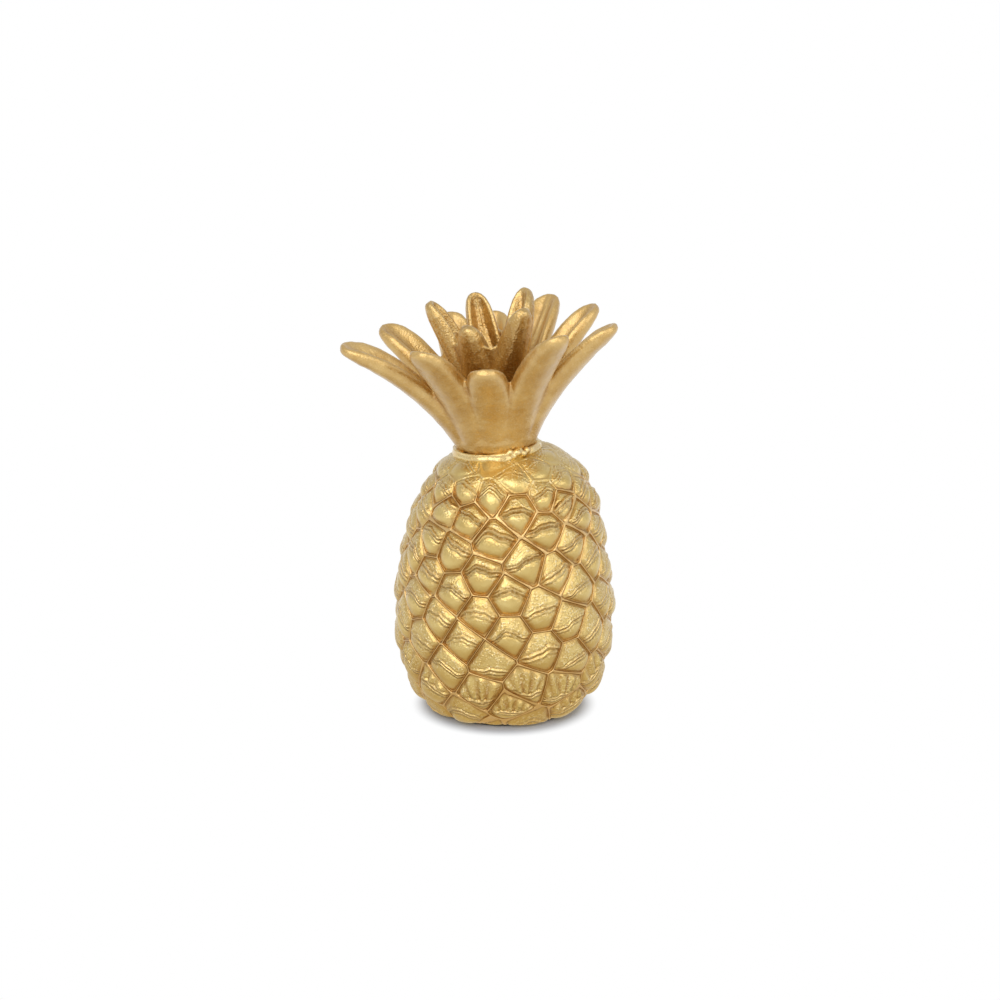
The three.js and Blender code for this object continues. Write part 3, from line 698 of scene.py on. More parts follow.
def edge_distance(
    points: np.ndarray, outline: np.ndarray, corner: float = 0.12, sharp: float = 0.7
) -> tuple[np.ndarray, np.ndarray]:
    """Measure how far points in a convex outline lie from its sides.

    Args:
        points: Rows of coordinates inside the outline.
        outline: Points along its sides, in turn.
        corner: Sine of the least turn that starts a new side.
        sharp: How sharp the rounded creases stay, per millimetre.

    Returns:
        The distance to the nearest side, and the same with its creases rounded off.
    """
    side = np.roll(outline, -1, axis=0) - outline
    side /= np.linalg.norm(side, axis=1)[:, None]
    away = points[:, None, :] - outline[None, :, :]
    gaps = np.abs(away[..., 0] * side[None, :, 1] - away[..., 1] * side[None, :, 0])
    before = np.roll(side, 1, axis=0)
    turns = np.abs(side[:, 0] * before[:, 1] - side[:, 1] * before[:, 0]) > corner
    return gaps.min(axis=1), -np.log(np.exp(-gaps[:, turns] * sharp).sum(axis=1)) / sharp


@dataclass(frozen=True)
class LeafPlan:
    """Where a leaf ends: turn off its even place, shares of reach and rise, arch and roll."""

    turn: float
    out: float
    up: float
    arch: float
    roll: float = 0.0


@dataclass
class Leaf:
    """One thick cast leaf with a channel between two ridges on its upper side.

    The stations are the share along the leaf and its width, thickness and channel there. The
    section runs round the leaf, in half widths across and in thicknesses up.
    """

    width: float
    thickness: float = 4.6
    stations: tuple[tuple[float, float, float, float], ...] = (
        (0, 0.78, 1, 1), (0.18, 0.88, 1, 1), (0.36, 0.98, 1, 1), (0.52, 1, 1, 1),
        (0.66, 0.98, 1, 1), (0.79, 0.94, 0.93, 1), (0.89, 0.84, 0.82, 0.9),
        (0.95, 0.67, 0.66, 0.6), (0.985, 0.46, 0.5, 0.2), (1, 0.22, 0.32, 0),
    )  # fmt: skip
    section: tuple[tuple[float, float], ...] = (
        (-1, 0.3), (-0.99, -0.1), (-0.88, -0.5), (-0.66, -0.76), (-0.34, -0.94), (0, -1),
        (0.34, -0.94), (0.66, -0.76), (0.88, -0.5), (0.99, -0.1), (1, 0.3), (0.9, 0.62),
        (0.78, 0.68), (0.64, 0.6), (0.48, 0.3), (0.34, 0.02), (0.12, -0.16), (0, 0.02),
        (-0.12, -0.16), (-0.34, 0.02), (-0.48, 0.3), (-0.64, 0.6), (-0.78, 0.68), (-0.9, 0.62),
    )  # fmt: skip
    rows: int = 44
    sides: int = 44
    rim: float = -0.2
    crest: float = 0.5

    def midline(self, plan: LeafPlan, root: Vector, tip: Vector) -> list[Vector]:
        """Control points of the leaf's arch, out and up."""
        rise = tip.y - root.y
        first = Vector((root.x + (tip.x - root.x) * 0.1, root.y + rise * 0.25))
        return [root, first, Vector((tip.x * 0.575, tip.y * plan.arch)), tip]

    def loft(self, bm: BMesh, azimuth: float, plan: LeafPlan, root: Vector, tip: Vector) -> None:
        """Draw the section out along the leaf's arched midline.

        Args:
            bm: The bmesh that the leaf is added to.
            azimuth: Where the leaf starts round the crown, from the front.
            plan: How the leaf bends, rolls and turns.
            root: Start of the midline, out and up.
            tip: End of the midline, out and up.
        """
        ctrl = self.midline(plan, root, tip)
        ring = bmesh.ops.create_circle(bm, segments=self.sides, radius=1.0)["verts"]
        section = spline(np.array(self.section), self.sides, closed=True)
        stations = np.array(self.stations).T
        ease = 1 - (1 - np.linspace(0, 1, self.rows)) ** 1.5
        lines = zip(*(np.interp(ease, stations[0], column) for column in stations))
        for i, (along, wide, thick, channel) in enumerate(lines):
            if i:
                fresh = bmesh.ops.extrude_edge_only(bm, edges=ring_edges(ring))["geom"]
                fresh = {g for g in fresh if isinstance(g, BMVert)}
                ring = [
                    next(e.other_vert(v) for e in v.link_edges if e.other_vert(v) in fresh)
                    for v in ring
                ]
            centre, ahead = bezier(ctrl, along)
            turn = azimuth + math.radians(plan.turn) * along**2
            outward = Vector((math.sin(turn), -math.cos(turn), 0))
            across = Vector((math.cos(turn), math.sin(turn), 0))
            for vertex, (a, n) in zip(ring, section):
                side = a * wide * self.width / 2
                upper = n > self.rim and abs(a) < 1
                fill = n - self.crest * (1 - a * a) + self.rim if upper else 0.0
                raised = (n - (1 - channel) * fill) * thick * self.thickness
                over = raised + side * plan.roll * along
                vertex.co = outward * (centre.x - ahead.y * over) + across * side
                vertex.co.z = centre.y + ahead.x * over
            if i in (0, self.rows - 1):
                bm.faces.new(ring)


def bezier(ctrl: list[Vector], t: float) -> tuple[Vector, Vector]:
    """Point and unit direction of a cubic curve in the plane.

    Args:
        ctrl: The curve's four control points.
        t: The share of the way.

    Returns:
        The point and the direction.
    """
    s = 1 - t
    a, b, c, d = ctrl
    ahead = (b - a) * s * s + (c - b) * 2 * s * t + (d - c) * t * t
    return a * s**3 + b * 3 * s * s * t + c * 3 * s * t * t + d * t**3, ahead.normalized()


@dataclass
class Crown:
    """The frame of the crown, which leans to the left on its seat."""

    offset: float = 2.9
    lean: float = math.radians(4.5)
    seat: float = 97.6
    collar: float = 14.2
    gap: float = 0.3

    def matrix(self) -> Matrix:
        """Place of the crown in the ornament."""
        lean = Matrix.Rotation(-self.lean, 4, "Y")
        return Matrix.Translation((-self.offset, 0, self.seat)) @ lean


@dataclass
class Whorl:
    """A ring of leaves in one casting, the first of them at start."""

    crown: Crown
    leaf: Leaf
    reach: float
    rise: float
    start: float
    plans: tuple[LeafPlan, ...]

    def add_leaves(self, bm: BMesh, root: Vector) -> None:
        """Loft the leaves, evenly round the crown but for their plans."""
        for i, plan in enumerate(self.plans):
            tip = Vector((plan.out * self.reach, plan.up * self.rise))
            self.leaf.loft(bm, self.start + i * 2 * math.pi / len(self.plans), plan, root, tip)


@dataclass
class OuterWhorl(Whorl):
    """Collar, funnel and ten leaves in one casting."""

    leaf: Leaf = field(default_factory=lambda: Leaf(width=15.4))
    reach: float = 53.4
    rise: float = 46.0
    start: float = 0.0
    plans: tuple[LeafPlan, ...] = (
        LeafPlan(-3, 0.62, 0.77, 0.73), LeafPlan(0, 0.83, 1, 0.74), LeafPlan(0, 0.89, 0.95, 0.73),
        LeafPlan(0, 0.78, 0.98, 0.74), LeafPlan(0, 0.76, 0.99, 0.73),
        LeafPlan(-4, 0.62, 0.89, 0.73), LeafPlan(-8, 0.57, 0.94, 0.73),
        LeafPlan(0, 0.75, 0.94, 0.78, -0.15),
        LeafPlan(0, 1, 0.95, 0.8, -0.22), LeafPlan(0, 0.77, 0.95, 0.75),
    )  # fmt: skip
    spigot: float = 8.5
    spigot_depth: float = 3.0
    funnel_radius: float = 16.4
    funnel_height: float = 8.2
    wall: float = 4.0
    dish: tuple[tuple[float, float], ...] = ((11.4, 8.0), (9.4, 7.0), (0, 7.0))

    def build(self) -> bpy.types.Object:
        """Loft the leaves on their funnel and melt them together."""
        bm = bmesh.new()
        foot, collar = self.crown.gap, self.crown.collar
        lathed(bm, [
            (0, foot - self.spigot_depth), (self.spigot, foot - self.spigot_depth),
            (self.spigot, foot), (collar, foot), (collar * 1.1, self.funnel_height * 0.45),
            (self.funnel_radius, self.funnel_height),
            (self.funnel_radius - self.wall, self.funnel_height), *self.dish,
        ])  # fmt: skip
        self.add_leaves(bm, Vector((collar - self.leaf.thickness, foot)))
        place = self.crown.matrix()
        return cast_together(bm, "outer_leaves", place, voxel=0.515, passes=1, roughness=0.25)


@dataclass
class InnerWhorl(Whorl):
    """A cup of five leaves that stands in the funnel."""

    leaf: Leaf = field(default_factory=lambda: Leaf(width=11.6, stations=(
        (0, 0.9, 1, 0.6), (0.2, 1.1, 1, 0.8), (0.36, 1.2, 1, 1), (0.52, 1.12, 1, 1),
        (0.66, 1, 1, 1), (0.79, 0.9, 0.93, 1), (0.89, 0.78, 0.82, 0.9), (0.95, 0.62, 0.66, 0.6),
        (0.985, 0.42, 0.5, 0.2), (1, 0.2, 0.32, 0),
    )))  # fmt: skip
    reach: float = 21.5
    rise: float = 53.2
    start: float = math.radians(-30)
    plans: tuple[LeafPlan, ...] = (
        LeafPlan(0, 0.64, 0.88, 0.72), LeafPlan(-2, 1, 0.985, 0.72), LeafPlan(18, 0.93, 1, 0.72),
        LeafPlan(9, 0.7, 0.99, 0.72), LeafPlan(4, 0.93, 1, 0.72),
    )  # fmt: skip
    root_radius: float = 7.4
    rim_radius: float = 12.8
    rim_height: float = 41.5
    wall: float = 3.4
    notch: float = 3.4
    foot: float = 7.3
    floor: float = 5.0

    def build(self) -> bpy.types.Object:
        """Loft the leaves on their cup, dip its rim between them and melt all together."""
        bm = bmesh.new()
        root, rim, height = self.root_radius, self.rim_radius, self.rim_height
        lathed(bm, [
            (0, self.foot), (root, self.foot), (root * 1.24, height * 0.5), (rim, height),
            (rim - 0.5, height + 0.3), (rim - 1.4, height), (root + 0.6, height * 0.8),
            (root - 2.4, height * 0.5), (root - self.wall, self.foot + self.floor),
            (0, self.foot + self.floor),
        ])  # fmt: skip
        step = 2 * math.pi / len(self.plans)
        for vertex in bm.verts:
            turn = math.atan2(vertex.co.x, -vertex.co.y) - self.start
            dip = 1 - abs(turn % step / step * 2 - 1)
            share = float(smoothstep(vertex.co.z, height * 0.6, height))
            vertex.co.z -= self.notch * dip * share
        self.add_leaves(bm, Vector((root * 0.85, height * 0.4)))
        place = self.crown.matrix()
        return cast_together(bm, "inner_leaves", place, voxel=0.33, passes=1, roughness=0.12)


@dataclass
class NeckBead:
    """The uneven bead of filler round the seam under the crown.

    The lumps are degrees from the front, the share of the lump's radius and how high it sits.
    """

    crown: Crown
    radius: float = 1.4
    seat: float = 0.4
    bulge: float = 0.55
    lumps: tuple[tuple[float, float, float], ...] = (
        (10, 0.8, -0.2), (19, 0.9, 0.5), (23, 1, -0.6), (29, 1.1, 0.1), (34, 0.8, 0.7),
        (38, 1, -0.5), (45, 0.9, 0), (55, 0.8, -0.6), (78, 0.9, -0.7),
    )  # fmt: skip
    lump_radius: float = 1.5

    def build(self) -> bpy.types.Object:
        """Spin the ring, swell it, press a groove along its outside and the lumps on."""
        bm = bmesh.new()
        middle, upright = self.crown.collar + self.radius * self.bulge, math.pi / 2
        turned = Matrix.Rotation(upright, 4, "X")
        ring = bmesh.ops.create_circle(bm, segments=14, radius=self.radius, matrix=turned)["verts"]
        bmesh.ops.translate(bm, vec=(middle, 0, -self.seat * self.radius), verts=ring)
        spun(bm, [*ring, *ring_edges(ring)], steps=120)
        for vertex in bm.verts:
            turn = math.atan2(vertex.co.x, -vertex.co.y)
            swell = 1 + 0.16 * math.sin(5 * turn + 1) + 0.12 * math.sin(9 * turn)
            swell += 0.05 * math.sin(14 * turn)
            flat = Vector((vertex.co.x, vertex.co.y, 0)).normalized()
            out = vertex.co.dot(flat) - middle
            low = 1.0 if vertex.co.z > -self.seat * self.radius else 1.6
            if out > 0:
                groove = (vertex.co.z + 0.15 * self.radius) / (0.3 * self.radius)
                swell -= 0.45 * math.exp(-(groove**2))
            wander = self.radius * 0.12 * math.sin(7 * turn)
            up = Vector((0, 0, vertex.co.z * swell * low))
            vertex.co = flat * (middle + out * swell + wander) + up
        for degrees, size, up in self.lumps:
            turn, radius = math.radians(degrees), self.lump_radius * size
            reach = self.crown.collar + radius * 0.7
            place = (math.sin(turn) * reach, -math.cos(turn) * reach, radius * up)
            place = Matrix.Translation(place)
            bmesh.ops.create_icosphere(bm, subdivisions=3, radius=radius, matrix=place)
        place = self.crown.matrix()
        return cast_together(bm, "filler_bead", place, voxel=0.22, passes=4, roughness=0.4)


@dataclass
class FeltDisc:
    """The felt under the base."""

    radius: float = 26.7
    thickness: float = 1.2
    rounding: float = 0.35

    def build(self) -> bpy.types.Object:
        """Cut the disc and soften its edge."""
        bm = bmesh.new()
        lathed(bm, [
            (0, 0), (self.radius - self.rounding, 0), (self.radius, self.rounding),
            (self.radius, self.thickness - self.rounding),
            (self.radius - self.rounding, self.thickness), (0, self.thickness),
        ], steps=144)  # fmt: skip
        bmesh.ops.recalc_face_normals(bm, faces=bm.faces)
        return piece_from(bm, "felt_disc")


def linear(colour: str) -> tuple[float, float, float, float]:
    """Turn an sRGB hex colour into linear light."""
    parts = [int(colour[i : i + 2], 16) / 255 for i in (0, 2, 4)]
    light = [p / 12.92 if p <= 0.04045 else ((p + 0.055) / 1.055) ** 2.4 for p in parts]
    return (*light, 1.0)


def set_up(
    tree: bpy.types.NodeTree, node: bpy.types.Node, settings: dict | None = None, **links: object
) -> bpy.types.Node:
    """Give a node its settings and links.

    Args:
        tree: The node tree.
        node: The node.
        settings: Properties of the node by name, values of its inputs under "inputs" and the
            places and sRGB colours of a colour ramp under "stops".
        **links: Sockets, or nodes whose first enabled output counts, to join. The name is that of
            the input with underscores for spaces, or its number after an underscore.

    Returns:
        The same node.
    """
    for key, value in (settings or {}).items():
        if key == "inputs":
            for name, number in value.items():
                node.inputs[name].default_value = number
        elif key == "stops":
            while len(node.color_ramp.elements) < len(value):
                node.color_ramp.elements.new(1.0)
            for element, (place, colour) in zip(node.color_ramp.elements, value):
                element.position = place
                element.color = linear(colour)
        else:
            setattr(node, key, value)
    for name, source in links.items():
        key = int(name[1:]) if name[0] == "_" else name.replace("_", " ")
        if isinstance(source, bpy.types.Node):
            source = next(output for output in source.outputs if output.enabled)
        tree.links.new(source, node.inputs[key])
    return node


def add_node(
    tree: bpy.types.NodeTree, kind: str, settings: dict | None = None, **links: object
) -> bpy.types.Node:
    """Add a shader node to a tree, its type named without "ShaderNode", as set_up() takes it."""
    return set_up(tree, tree.nodes.new("ShaderNode" + kind), settings, **links)


def start_material(
    name: str,
) -> tuple[bpy.types.Material, bpy.types.NodeTree, bpy.types.Node, bpy.types.Node]:
    """Start a material with its patterns laid out in millimetres on the piece.

    Args:
        name: The material's name.

    Returns:
        The material, its tree, its shader and the node that gives the place in millimetres.
    """
    material = bpy.data.materials.new(name)
    material.use_nodes = True
    tree = material.node_tree
    where = add_node(tree, "TexCoord").outputs["Object"]
    scale = {"operation": "SCALE", "inputs": {"Scale": 1 / MM}}
    spot = add_node(tree, "VectorMath", scale, _0=where)
    return material, tree, tree.nodes["Principled BSDF"], spot


@dataclass(frozen=True)
class GoldPaint:
    """Metallic gold paint under thin clear lacquer, sprayed over sand-cast metal.

    The eye sees a satin pale gold. Grooves and hollows are browner, partly the paint's own tone and
    partly painted shade, and ridges paler, partly rubbed wear and partly painted highlight. The
    lacquer gives small bright lights. The grain of casting sand, about 0.3 mm, wouldn't show, so it
    is drawn twice as coarse, with pale specks painted on as glints where the light falls.
    """

    name: str
    high: str
    mid: str
    roughness: float
    grit: float
    speckle: float
    grooves: bool = False
    # Browner tone: the paint's own in the hollows and the grain, and painted shade in the grooves
    # and creases.
    deep: str = "a86c1c"
    # Tone of the painted highlight on the ropes and the lips' ridges.
    line: str = "ecc888"
    # Tone of the glints painted on the grain.
    pale: str = "faeabe"
    cloud: float = 7.0
    lump: float = 1.9
    grain: float = 0.65
    # Places across the lip and grey levels: painted shade in the creases, painted highlight on the
    # ridges, and the folds' heights.
    creases: tuple[tuple[float, str], ...] = (
        (0.1, "00"), (0.25, "a0"), (0.33, "00"), (0.46, "00"), (0.55, "ff"), (0.63, "00"),
        (0.79, "00"), (0.88, "c8"), (1.0, "00"),
    )  # fmt: skip
    ridges: tuple[tuple[float, str], ...] = (
        (0.31, "00"), (0.4, "d8"), (0.48, "00"), (0.62, "00"), (0.71, "ff"), (0.81, "00"),
    )  # fmt: skip
    folds: tuple[tuple[float, str], ...] = (
        (0.08, "b4"), (0.25, "80"), (0.4, "f4"), (0.55, "40"), (0.71, "ff"), (0.88, "78"),
        (1.0, "b4"),
    )  # fmt: skip

    def build(self) -> bpy.types.Material:
        """Build the node tree."""
        material, tree, shader, spot = start_material(self.name)
        cloud, sand, lumps = (
            add_node(tree, "TexNoise", {"inputs": {"Scale": 1 / size, "Detail": fine}}, Vector=spot)
            for size, fine in ((self.cloud, 3.0), (self.grain, 1.0), (self.lump, 2.0))
        )
        stops = [(0.3, self.mid), (0.7, self.high)]
        colour = self.rubbed(tree, add_node(tree, "ValToRGB", {"stops": stops}, Fac=cloud))
        uneven = {"operation": "MULTIPLY_ADD", "inputs": {1: 0.6}}
        height = add_node(tree, "Math", uneven, _0=lumps, _2=sand)
        skin = {"inputs": {"Strength": self.grit, "Distance": 0.4 * MM}}
        bump, grit = add_node(tree, "Bump", skin, Height=height), None
        if self.grooves:
            colour, normal, grit = self.grooved(tree, colour, lumps)
            strength = {"To Min": self.grit * 0.7, "To Max": min(1.0, self.grit * 3.6)}
            strength = add_node(tree, "MapRange", {"inputs": strength}, Value=grit)
            set_up(tree, bump, Strength=strength, Normal=normal)
        colour = self.sanded(tree, colour, sand, grit)
        rough = {"From Min": 0.3, "From Max": 0.7}
        rough |= {"To Min": self.roughness - 0.07, "To Max": self.roughness + 0.1}
        rough = add_node(tree, "MapRange", {"inputs": rough}, Value=sand)
        lacquer = {"Metallic": 1.0, "Coat Weight": 0.9, "Coat Roughness": 0.26}
        looks = {"Base_Color": colour, "Roughness": rough, "Normal": bump, "Coat_Normal": bump}
        set_up(tree, shader, {"inputs": lacquer}, **looks)
        return material

    def toned(
        self, tree: bpy.types.NodeTree, colour: bpy.types.Node,
        tones: Iterable[tuple[bpy.types.Node, str]],
    ) -> bpy.types.Node:  # fmt: skip
        """Lay tones over a colour, one after the other.

        Args:
            tree: The node tree.
            colour: The node that gives the colour so far.
            tones: For each tone the node that says how much of it there is, and the tone.

        Returns:
            The node that gives the new colour.
        """
        for share, tone in tones:
            mix = {"data_type": "RGBA", "inputs": {7: linear(tone)}}
            colour = add_node(tree, "Mix", mix, _0=share, _6=colour)
        return colour

    def rubbed(self, tree: bpy.types.NodeTree, colour: bpy.types.Node) -> bpy.types.Node:
        """Paint ridges paler (wear and painted highlight), hollows browner (tone and painted
        shade).

        Args:
            tree: The node tree.
            colour: The node that gives the colour so far.

        Returns:
            The node that gives the new colour.
        """
        wear = add_node(tree, "Attribute", {"attribute_name": "wear"}).outputs["Fac"]
        # Paler on raised skin, as wear and painted highlight; browner in hollows, as the paint's
        # tone and painted shade.
        shares = (
            add_node(tree, "MapRange", {
                "interpolation_type": "SMOOTHSTEP",
                "inputs": {"From Min": 0.5, "From Max": end, "To Max": 0.6},
            }, Value=wear)
            for end in (0.85, 0.15)
        )  # fmt: skip
        return self.toned(tree, colour, zip(shares, (self.high, self.deep)))

    def sanded(
        self, tree: bpy.types.NodeTree, colour: bpy.types.Node, sand: bpy.types.Node,
        grit: bpy.types.Node | None,
    ) -> bpy.types.Node:  # fmt: skip
        """Strew pale grains, painted as glints, and brown grains over the colour.

        Args:
            tree: The node tree.
            colour: The node that gives the colour so far.
            sand: The node that gives the grain.
            grit: The node that says where the grain is strong, or None for an even grain.

        Returns:
            The node that gives the new colour.
        """
        shares = []
        for start, end, most in ((0.52, 0.65, 1.0), (0.45, 0.33, 0.5)):
            ends = {"From Min": start, "From Max": end, "To Max": most * self.speckle}
            share = {"interpolation_type": "SMOOTHSTEP", "inputs": ends}
            share = add_node(tree, "MapRange", share, Value=sand)
            if grit:
                share = add_node(tree, "Math", {"operation": "MULTIPLY"}, _0=share, _1=grit)
            shares.append(share)
        return self.toned(tree, colour, zip(shares, (self.pale, self.deep)))

    def grooved(
        self, tree: bpy.types.NodeTree, colour: bpy.types.Node, lumps: bpy.types.Node
    ) -> tuple[bpy.types.Node, bpy.types.Node, bpy.types.Node]:
        """Draw the grooves between the eyes, the ropes in them and the folds of the lips.

        Args:
            tree: The node tree.
            colour: The node that gives the colour so far.
            lumps: The node that gives the uneven edge of the brown.

        Returns:
            The nodes that give the new colour, the normal with the ropes and folds, and how strong
            the grain is.
        """
        # Painted shade goes into the grooves, up the eyes' sides and into the lips' creases;
        # painted highlight goes on the ropes and the lips' ridges.
        edge, over, lip = (
            add_node(tree, "Attribute", {"attribute_name": name}).outputs["Fac"]
            for name in ("edge", "over", "lip")
        )
        bands = (
            ("SMOOTHSTEP", edge, 3.2, 0.3, 0.0, 0.4),  # painted shade up the eye's side, darkest by the groove
            ("SMOOTHSTEP", edge, 0.9, 0.35, 0.0, 0.35),  # browner flank by the rope: the paint's tone and painted shade
            ("SMOOTHSTEP", edge, 0.34, 0.05, 0.0, 0.6),  # painted highlight along the rope
            ("SMOOTHSTEP", edge, 0.55, 0.0, 0.0, 0.5),  # the rope's height
            ("SMOOTHSTEP", over, -5.5, 0.0, 0.0, 1.0),  # grain and its painted glints from a little under the lip up
            ("SMOOTHSTEP", edge, 0.6, 2.2, 0.0, 1.0),  # and clear of the grooves
            ("SMOOTHSTEP", lumps, 0.35, 0.58, 0.2, 1.0),  # in patches
            ("LINEAR", lumps, 0.35, 0.65, 0.45, 1.0),  # ragged edge of the painted shade
            ("LINEAR", over, -3.0, 2.0, 0.0, 1.0),  # the way across the lip
        )
        skirt_shade, flank, rope, raised, near, inside, patch, ragged, across = (
            add_node(tree, "MapRange", {
                "interpolation_type": kind,
                "inputs": {"From Min": start, "From Max": end, "To Min": low, "To Max": high},
            }, Value=source)
            for kind, source, start, end, low, high in bands
        )  # fmt: skip
        times, plus = {"operation": "MULTIPLY"}, {"operation": "ADD"}
        skirt_shade = add_node(tree, "Math", times, _0=skirt_shade, _1=ragged)
        # Across each lip: painted shade in the creases, painted highlight on the ridges, the folds'
        # heights for the bump.
        ramps = (
            add_node(tree, "ValToRGB", {"stops": [(x, grey * 3) for x, grey in stops]}, Fac=across)
            for stops in (self.creases, self.ridges, self.folds)
        )
        crease, ridge_highlight, fold = (add_node(tree, "Math", times, _0=ramp, _1=lip) for ramp in ramps)
        crease = add_node(tree, "Math", times, _0=crease, _1=ragged)
        # Painted shade in the skirt and the creases, tone and painted shade in the flank, painted
        # highlight on the ridges and the rope.
        tones = (self.deep, self.deep, self.deep, self.line, self.line)
        colour = self.toned(tree, colour, zip((skirt_shade, flank, crease, ridge_highlight, rope), tones))
        height = add_node(tree, "Math", plus, _0=fold, _1=raised)
        deep = {"inputs": {"Strength": 1.0, "Distance": 0.8 * MM}}
        normal = add_node(tree, "Bump", deep, Height=height)
        bare = add_node(tree, "Math", plus, _0=crease, _1=ridge_highlight)
        bare = add_node(tree, "MapRange", {"inputs": {"To Min": 1.0, "To Max": 0.0}}, Value=bare)
        grit = near
        for factor in (inside, patch, bare):
            grit = add_node(tree, "Math", times, _0=grit, _1=factor)
        return colour, normal, grit


@dataclass(frozen=True)
class ZincPlate:
    """Bright zinc plate on turned steel, clouded by handling in blots of about 2.5 mm.

    The eye would see a cool grey metal, a little patchy in its shine.
    """

    name: str = "zinc_plated_steel"
    dull: str = "aeb1b5"
    colour: str = "b9bcc0"
    roughness: float = 0.32
    blot: float = 2.5

    def build(self) -> bpy.types.Material:
        """Build the node tree."""
        material, tree, shader, spot = start_material(self.name)
        cloud = {"inputs": {"Scale": 1 / self.blot, "Detail": 3.0}}
        cloud = add_node(tree, "TexNoise", cloud, Vector=spot)
        rough = {"To Min": self.roughness - 0.08, "To Max": self.roughness + 0.1}
        rough = add_node(tree, "MapRange", {"inputs": rough}, Value=cloud)
        stops = {"stops": [(0.3, self.dull), (0.7, self.colour)]}
        colour = add_node(tree, "ValToRGB", stops, Fac=cloud)
        set_up(tree, shader, {"inputs": {"Metallic": 1.0}}, Base_Color=colour, Roughness=rough)
        return material


@dataclass(frozen=True)
class WoolFelt:
    """Pressed wool felt: dark and quite dull, with fibres that lie every way, 0.45 mm apart."""

    name: str = "pressed_wool_felt"
    dark: str = "24211f"
    light: str = "3a3633"

    def build(self) -> bpy.types.Material:
        """Build the node tree."""
        material, tree, shader, spot = start_material(self.name)
        fibres = {"inputs": {"Scale": 2.2, "Detail": 4.0, "Distortion": 2.5}}
        fibres = add_node(tree, "TexNoise", fibres, Vector=spot)
        stops = {"stops": [(0.3, self.dark), (0.7, self.light)]}
        colour = add_node(tree, "ValToRGB", stops, Fac=fibres)
        nap = {"inputs": {"Strength": 0.6, "Distance": 0.3 * MM}}
        bump = add_node(tree, "Bump", nap, Height=fibres)
        dull = {"inputs": {"Roughness": 0.95, "Sheen Weight": 0.25}}
        set_up(tree, shader, dull, Base_Color=colour, Normal=bump)
        return material


